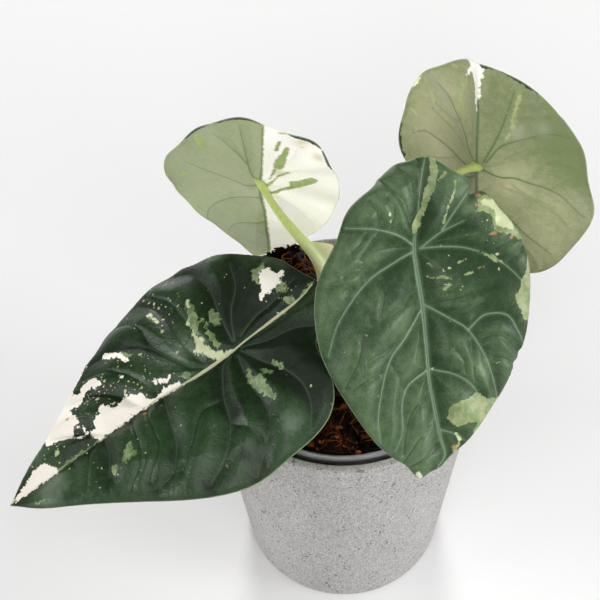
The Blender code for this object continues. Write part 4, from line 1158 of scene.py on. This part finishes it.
def stalk_material():
    """Yellow-green at the blade, paler at the foot, with a pale thin sheath."""
    if "stalk" in bpy.data.materials:
        return bpy.data.materials["stalk"]
    shader = Shader("stalk")
    up = shader.read("up_share")
    streaks = shader.noise(shader.stretch(shader.object_place(), (1.0, 1.0, 0.12)), 900.0, 3.0)
    colour = shader.blend(shader.step(up, 0.25, 0.8), STALK_FOOT, STALK_TOP)
    colour = shader.blend(shader.step(streaks, 0.35, 0.75, 0.0, 0.35), colour, STALK_STREAK)
    colour = shader.blend(shader.step(shader.read("thin"), 0.1, 0.7, 0.0, 0.85), colour, SHEATH)
    shader.set(Base_Color=colour, Roughness=0.42, Specular_IOR_Level=0.4)
    shader.set(Subsurface_Weight=0.25, Subsurface_Scale=2 * MM)
    shader.bump(streaks, 0.1 * MM)
    return shader.material


def build_crown():
    """The rhizome's top: ringed with the scars of old leaves."""
    points = []
    foot = CROWN.z - CROWN_DEPTH
    for row in range(CROWN_ROWS):
        t = row / (CROWN_ROWS - 1)
        height = foot + t * (CROWN_DEPTH + CROWN_RADIUS)
        over = max(0.0, height - CROWN.z) / CROWN_RADIUS
        radius = CROWN_RADIUS * math.sqrt(max(0.0, 1 - over**2)) * min(1.0, 0.75 + 1.2 * t)
        for i in range(CROWN_SIDES):
            turn = 2 * math.pi * i / CROWN_SIDES
            scar = 0.35 * MM * math.sin(2600 * height + 1.5 * math.sin(turn + 1))
            lump = 0.3 * MM * math.sin(5 * turn + 9 * t) + 0.2 * MM * math.sin(11 * turn - 17 * t)
            r = max(0.0, radius + (scar + lump) * min(1.0, radius / CROWN_RADIUS * 2))
            points.append((CROWN.x + r * math.cos(turn), CROWN.y + r * math.sin(turn), height))
    mesh = plain_mesh("crown", points, tube_faces(0, CROWN_ROWS, CROWN_SIDES), crown_material())
    return add_piece("crown", mesh, "rhizome")


def crown_material():
    shader = Shader("crown_bark")
    place = shader.object_place()
    rings = shader.noise(shader.stretch(place, (0.3, 0.3, 1.0)), 1400.0, 3.0)
    patches = shader.noise(place, 220.0, 3.0)
    colour = shader.blend(shader.step(rings, 0.35, 0.65), CROWN_DARK, CROWN_BROWN)
    colour = shader.blend(shader.step(patches, 0.45, 0.65, 0.0, 0.6), colour, CROWN_GREEN)
    shader.set(Base_Color=colour, Roughness=0.75)
    shader.bump(rings, 0.4 * MM)
    return shader.material


def mix_wall():
    """The mix's radius at its top and its lowest level, from its CAD node."""
    low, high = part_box("potting_mix")
    return (high.x - low.x) / 2, low.z


def heap_share(x, y):
    """How near a place is to the top of the heap beside the crown: 1 on it, 0 far away."""
    return math.exp(-((math.hypot(x - HEAP_PLACE[0], y - HEAP_PLACE[1]) / HEAP_REACH) ** 2))


def mix_height(x, y):
    """The height of the mix's surface, with its heap."""
    swell = sum(0.9 * MM / (1 + i) * math.sin(a * x + b * y + c) for i, (a, b, c) in enumerate(MIX_WAVES))
    return swell + HEAP_HEIGHT * heap_share(x, y)


def build_soil():
    """The body of the mix, closed, with an uneven top."""
    wall, low = mix_wall()
    ways = [(math.cos(2 * math.pi * i / MIX_SIDES), math.sin(2 * math.pi * i / MIX_SIDES))
            for i in range(MIX_SIDES)]
    points, faces = [(0.0, 0.0, MIX_LEVEL + mix_height(0, 0))], []
    for ring in range(1, MIX_RINGS + 1):
        radius = wall * ring / MIX_RINGS
        for across, along in ways:
            rise = mix_height(radius * across, radius * along) - (MIX_SINK if ring == MIX_RINGS else 0.0)
            points.append((radius * across, radius * along, MIX_LEVEL + rise))
    foot = wall * MIX_FOOT_SHARE
    first = len(points)
    points += [(foot * across, foot * along, low) for across, along in ways]
    for i in range(MIX_SIDES):
        j = (i + 1) % MIX_SIDES
        faces.append((0, 1 + i, 1 + j))
        for ring in range(MIX_RINGS - 1):
            a, b = 1 + ring * MIX_SIDES + i, 1 + ring * MIX_SIDES + j
            faces.append((a, a + MIX_SIDES, b + MIX_SIDES, b))
        last = first - MIX_SIDES
        faces.append((last + i, first + i, first + j, last + j))
    faces.append(tuple(reversed(range(first, first + MIX_SIDES))))
    mesh = plain_mesh("soil", points, faces, soil_material())
    return add_piece("soil", mesh, "potting_mix")


def chip_shape(chance, length, width, thick):
    """One bark chip: an uneven block with its corners knocked off."""
    points = []
    for x in (-1, -0.35, 0.35, 1):
        end = 0.72 if abs(x) == 1 else 1.0
        for y, z in CHIP_SECTION:
            uneven = chance.uniform(0.72, 1.25, 3)
            halves = (x * length / 2, y * width / 2 * end, z * thick / 2 * end)
            points.append([half * part for half, part in zip(halves, uneven)])
    faces = []
    for ring in range(3):
        for i in range(8):
            a, b = ring * 8 + i, ring * 8 + (i + 1) % 8
            faces.append((a, a + 8, b + 8, b))
    faces += [tuple(range(8)), tuple(reversed(range(24, 32)))]
    return np.array(points), faces


def chip_place(chance, wall, spilled):
    """Where a chip lies: anywhere on the mix, or on the pots' rims behind the heap."""
    radius = (wall - 2.0 * MM) * math.sqrt(chance.uniform(0, 1))
    turn = chance.uniform(0, 2 * math.pi)
    if spilled:
        radius = wall + chance.uniform(*SPILL_REACH) * MM
        turn = math.atan2(HEAP_PLACE[1], HEAP_PLACE[0]) + chance.normal(*SPILL_TURN)
    return radius * math.cos(turn), radius * math.sin(turn)


def build_chips():
    """Loose bark chips of all sizes, and some that spilled over the rims."""
    chance = np.random.default_rng(MIX_SEED)
    wall, _ = mix_wall()
    rim_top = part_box("planter")[1].z
    points, faces, tints = [], [], []
    for index in range(CHIP_COUNT + SPILL_COUNT):
        spilled = index >= CHIP_COUNT
        x, y = chip_place(chance, wall, spilled)
        length = CHIP_SHORTEST + CHIP_LONGER * chance.uniform(0, 1) ** 2
        width, thick = length * chance.uniform(0.22, 0.65), length * chance.uniform(0.15, 0.4)
        chip, sides = chip_shape(chance, length, width, thick)
        roll = Matrix.Rotation(chance.normal(0, CHIP_TIP), 3, "X")
        tip = roll @ Matrix.Rotation(chance.normal(0, CHIP_TIP), 3, "Y")
        turned = Matrix.Rotation(chance.uniform(0, 2 * math.pi), 3, "Z") @ tip
        height = MIX_LEVEL + mix_height(x, y) + chance.uniform(-0.3, 1.0) * thick
        if spilled:
            height = rim_top + 0.4 * thick + chance.uniform(0, 1) * max(0.0, height - rim_top)
        first = index * len(chip)
        points.append(chip @ np.array(turned).T + (x, y, height))
        faces += [tuple(first + i for i in face) for face in sides]
        # Chips on the heap are made darker: painted shade.
        tints += [chance.uniform(0, 1) * (1 - 0.3 * heap_share(x, y))] * len(chip)
    mesh = plain_mesh("bark_chips", np.vstack(points), faces, chip_material())
    mesh.set_sharp_from_angle(angle=CHIP_CREASE)
    store(mesh, "tint_and_shade", tints)
    return add_piece("bark_chips", mesh, None)


def fibre_line(chance, wall):
    """The middle line of a fibre that bows over the chips, and its half thickness."""
    radius = (wall - 3 * MM) * math.sqrt(chance.uniform(0, 1))
    turn = chance.uniform(0, 2 * math.pi)
    place = np.array((radius * math.cos(turn), radius * math.sin(turn)))
    heading = chance.uniform(0, 2 * math.pi)
    curl = chance.normal(0, FIBRE_CURL)
    spans = (FIBRE_LENGTHS, FIBRE_HALVES, FIBRE_LIFTS)
    length, thick, lift = (chance.uniform(*span) * MM for span in spans)
    line = []
    for step in range(FIBRE_STEPS):
        bow = lift * math.sin(math.pi * (step / (FIBRE_STEPS - 1))) ** 0.7
        line.append((*place, MIX_LEVEL + mix_height(*place) + 0.3 * MM + bow))
        place = place + length / FIBRE_STEPS * np.array((math.cos(heading), math.sin(heading)))
        reach = math.hypot(*place)
        if reach > wall - 1.5 * MM:
            place *= (wall - 1.5 * MM) / reach
        heading += curl + chance.normal(0, FIBRE_WANDER)
    return np.array(line), thick


def build_fibres():
    """Coir fibres: thin tapering tubes that curl over the chips."""
    chance = np.random.default_rng(MIX_SEED + 1)
    wall, _ = mix_wall()
    turns = 2 * math.pi * np.arange(FIBRE_SIDES) / FIBRE_SIDES
    points, faces, tints = [], [], []
    for index in range(FIBRE_COUNT):
        line, thick = fibre_line(chance, wall)
        ways = np.gradient(line, axis=0)
        ways /= np.linalg.norm(ways, axis=1)[:, None]
        flat_side = np.cross(ways, (0, 0, 1.0))
        flat_side /= np.linalg.norm(flat_side, axis=1)[:, None] + 1e-9
        up_side = np.cross(flat_side, ways)
        for i, (centre, flat_way, up_way) in enumerate(zip(line, flat_side, up_side)):
            taper = thick * (1 - 0.6 * (i / (FIBRE_STEPS - 1)))
            ring = np.cos(turns)[:, None] * flat_way + np.sin(turns)[:, None] * up_way
            points.append(centre + taper * ring)
        faces += tube_faces(index * FIBRE_STEPS * FIBRE_SIDES, FIBRE_STEPS, FIBRE_SIDES)
        tints += [chance.uniform(0.6, 1)] * (FIBRE_SIDES * FIBRE_STEPS)
    mesh = plain_mesh("coir_fibres", np.vstack(points), faces, chip_material())
    store(mesh, "tint_and_shade", tints)
    return add_piece("coir_fibres", mesh, None)


def soil_material():
    shader = Shader("dark_soil")
    place = shader.object_place()
    crumbs = shader.noise(place, 900.0, 5.0, 0.7)
    clods = shader.noise(place, 260.0, 3.0)
    colour = shader.blend(shader.step(crumbs, 0.35, 0.75), SOIL_DARK, SOIL_BROWN)
    shader.set(Base_Color=colour, Roughness=0.95, Specular_IOR_Level=0.2)
    shader.bump(shader.math("ADD", crumbs, clods), 1.2 * MM)
    return shader.material


def chip_material():
    """Orange-brown to nearly black, by each chip's or fibre's tint; heap chips carry painted shade."""
    if "bark_and_coir" in bpy.data.materials:
        return bpy.data.materials["bark_and_coir"]
    shader = Shader("bark_and_coir")
    tint_and_shade = shader.read("tint_and_shade")
    grain = shader.noise(shader.object_place(), 1500.0, 4.0, 0.65)
    colour = shader.blend(shader.step(tint_and_shade, 0.45, 0.95), BARK_DARK, BARK_ORANGE)
    colour = shader.blend(shader.step(grain, 0.45, 0.75, 0.0, 0.5), colour, BARK_GRAIN)
    colour = shader.blend(shader.step(tint_and_shade, 0.56, 0.98, 0.98, 0.0), colour, BARK_BLACK)
    shader.set(Base_Color=colour, Roughness=0.95, Specular_IOR_Level=0.02)
    shader.bump(grain, 0.35 * MM)
    return shader.material


def concrete_material():
    """Pale grey, cloudy, with fine dark pores."""
    shader = Shader("concrete_look")
    place = shader.stretch(shader.object_place(), (1.0, 1.0, 0.5))
    cloud = shader.noise(place, 45.0, 5.0, 0.6)
    streak = shader.noise(place, 620.0, 5.0, 0.8)
    sand = shader.noise(place, 1300.0, 4.0, 0.8)
    pore_size = shader.step(shader.noise(place, 160.0, 3.0), 0.45, 0.72, 0.0, 0.30)
    pore = shader.step(shader.math("SUBTRACT", shader.cells(place, 560.0), pore_size), 0.0, 0.12, 1.0, 0.0)
    colour = shader.blend(shader.step(cloud, 0.3, 0.7), CONCRETE_DULL, CONCRETE)
    colour = shader.blend(shader.step(sand, 0.44, 0.60, 0.0, 0.65), colour, SAND_DARK)
    colour = shader.blend(shader.step(sand, 0.30, 0.44, 0.60, 0.0), colour, SAND_PALE)
    colour = shader.blend(shader.step(streak, 0.52, 0.64, 0.0, 0.55), colour, STREAK_DARK)
    colour = shader.blend(shader.math("MULTIPLY", pore, 0.7), colour, PORE_DARK)
    height = shader.math("SUBTRACT", shader.math("MULTIPLY", sand, -0.5), pore)
    height = shader.math("SUBTRACT", height, shader.math("MULTIPLY", streak, 0.5))
    shader.set(Base_Color=colour, Roughness=0.86, Specular_IOR_Level=0.3)
    shader.bump(height, 0.25 * MM)
    return shader.material


def plastic_material():
    """Clear smoky plastic, thin and glossy."""
    shader = Shader("smoky_clear_plastic")
    haze = shader.noise(shader.object_place(), 90.0)
    colour = shader.blend(shader.step(haze, 0.3, 0.7), PLASTIC_DARK, PLASTIC_PALE)
    rough = shader.step(haze, 0.3, 0.7, 0.06, 0.12)
    shader.set(Base_Color=colour, Roughness=rough, Transmission_Weight=0.35, IOR=1.49)
    return shader.material


def floor_material():
    shader = Shader("pale_floor")
    shade = shader.noise(shader.object_place(), 2.0)
    shader.set(Base_Color=shader.blend(shade, FLOOR_DULL, FLOOR_PALE), Roughness=0.9)
    return shader.material


def add_camera():
    look = Vector((0.0, math.cos(CAMERA_DOWN), -math.sin(CAMERA_DOWN)))
    right, up = Vector((1.0, 0.0, 0.0)), Vector((0.0, math.sin(CAMERA_DOWN), math.cos(CAMERA_DOWN)))
    x_axis = math.cos(CAMERA_ROLL) * right + math.sin(CAMERA_ROLL) * up
    y_axis = -math.sin(CAMERA_ROLL) * right + math.cos(CAMERA_ROLL) * up
    turned = Matrix((x_axis, y_axis, -look)).transposed()
    camera = bpy.data.objects.new("camera", bpy.data.cameras.new("camera"))
    camera.data.lens = CAMERA_LENS
    camera.data.sensor_width = CAMERA_SENSOR
    camera.matrix_world = Matrix.Translation(CAMERA_PLACE) @ turned.to_4x4()
    bpy.context.scene.collection.objects.link(camera)
    bpy.context.scene.camera = camera


def add_lamp(name, azimuth, elevation, size, power):
    turn, rise = math.radians(azimuth), math.radians(elevation)
    way = Vector((math.cos(rise) * math.cos(turn), math.cos(rise) * math.sin(turn), math.sin(rise)))
    lamp = bpy.data.objects.new("lamp_" + name, bpy.data.lights.new("lamp_" + name, "AREA"))
    lamp.data.shape = "DISK"
    lamp.data.size = size
    lamp.data.energy = power
    lamp.location = LAMP_TARGET + LAMP_DISTANCE * way
    lamp.rotation_euler = (-way).to_track_quat("-Z", "Y").to_euler()
    bpy.context.scene.collection.objects.link(lamp)


def add_backdrop():
    """A world that looks pale to the camera and lights the part only a little."""
    world = bpy.data.worlds.new("studio")
    world.use_nodes = True
    tree = world.node_tree
    background = tree.nodes["Background"]
    background.inputs["Color"].default_value = (1.0, 1.0, 1.0, 1.0)
    seen = tree.nodes.new("ShaderNodeLightPath")
    strength = tree.nodes.new("ShaderNodeMath")
    strength.operation = "MULTIPLY_ADD"
    strength.inputs[1].default_value = BACKDROP_STRENGTH
    strength.inputs[2].default_value = WORLD_STRENGTH
    tree.links.new(seen.outputs["Is Camera Ray"], strength.inputs[0])
    tree.links.new(strength.outputs[0], background.inputs["Strength"])
    bpy.context.scene.world = world


def add_studio():
    """A wide pale floor, a pale backdrop and large soft round lamps."""
    turns = [2 * math.pi * i / FLOOR_SIDES for i in range(FLOOR_SIDES)]
    rim = [(FLOOR_RADIUS * math.cos(turn), FLOOR_RADIUS * math.sin(turn), FLOOR_LEVEL) for turn in turns]
    mesh = plain_mesh("floor", rim, [tuple(range(FLOOR_SIDES))], floor_material())
    floor = bpy.data.objects.new("floor", mesh)
    bpy.context.scene.collection.objects.link(floor)
    add_backdrop()
    for lamp in LAMPS:
        add_lamp(*lamp)
    bpy.context.scene.view_settings.view_transform = "Standard"


def dress_cad(frame):
    """New materials for the CAD nodes that stay."""
    for node, material in (("planter", concrete_material()), ("nursery_pot", plastic_material())):
        for slot in frame["nodes"][node].material_slots:
            slot.material = material


def main():
    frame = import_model()
    add_camera()
    add_studio()
    dress_cad(frame)
    build_soil()
    build_chips()
    build_fibres()
    build_crown()
    for letter in LEAVES:
        build_stalk(letter)
        build_blade(letter)
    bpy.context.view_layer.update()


main()
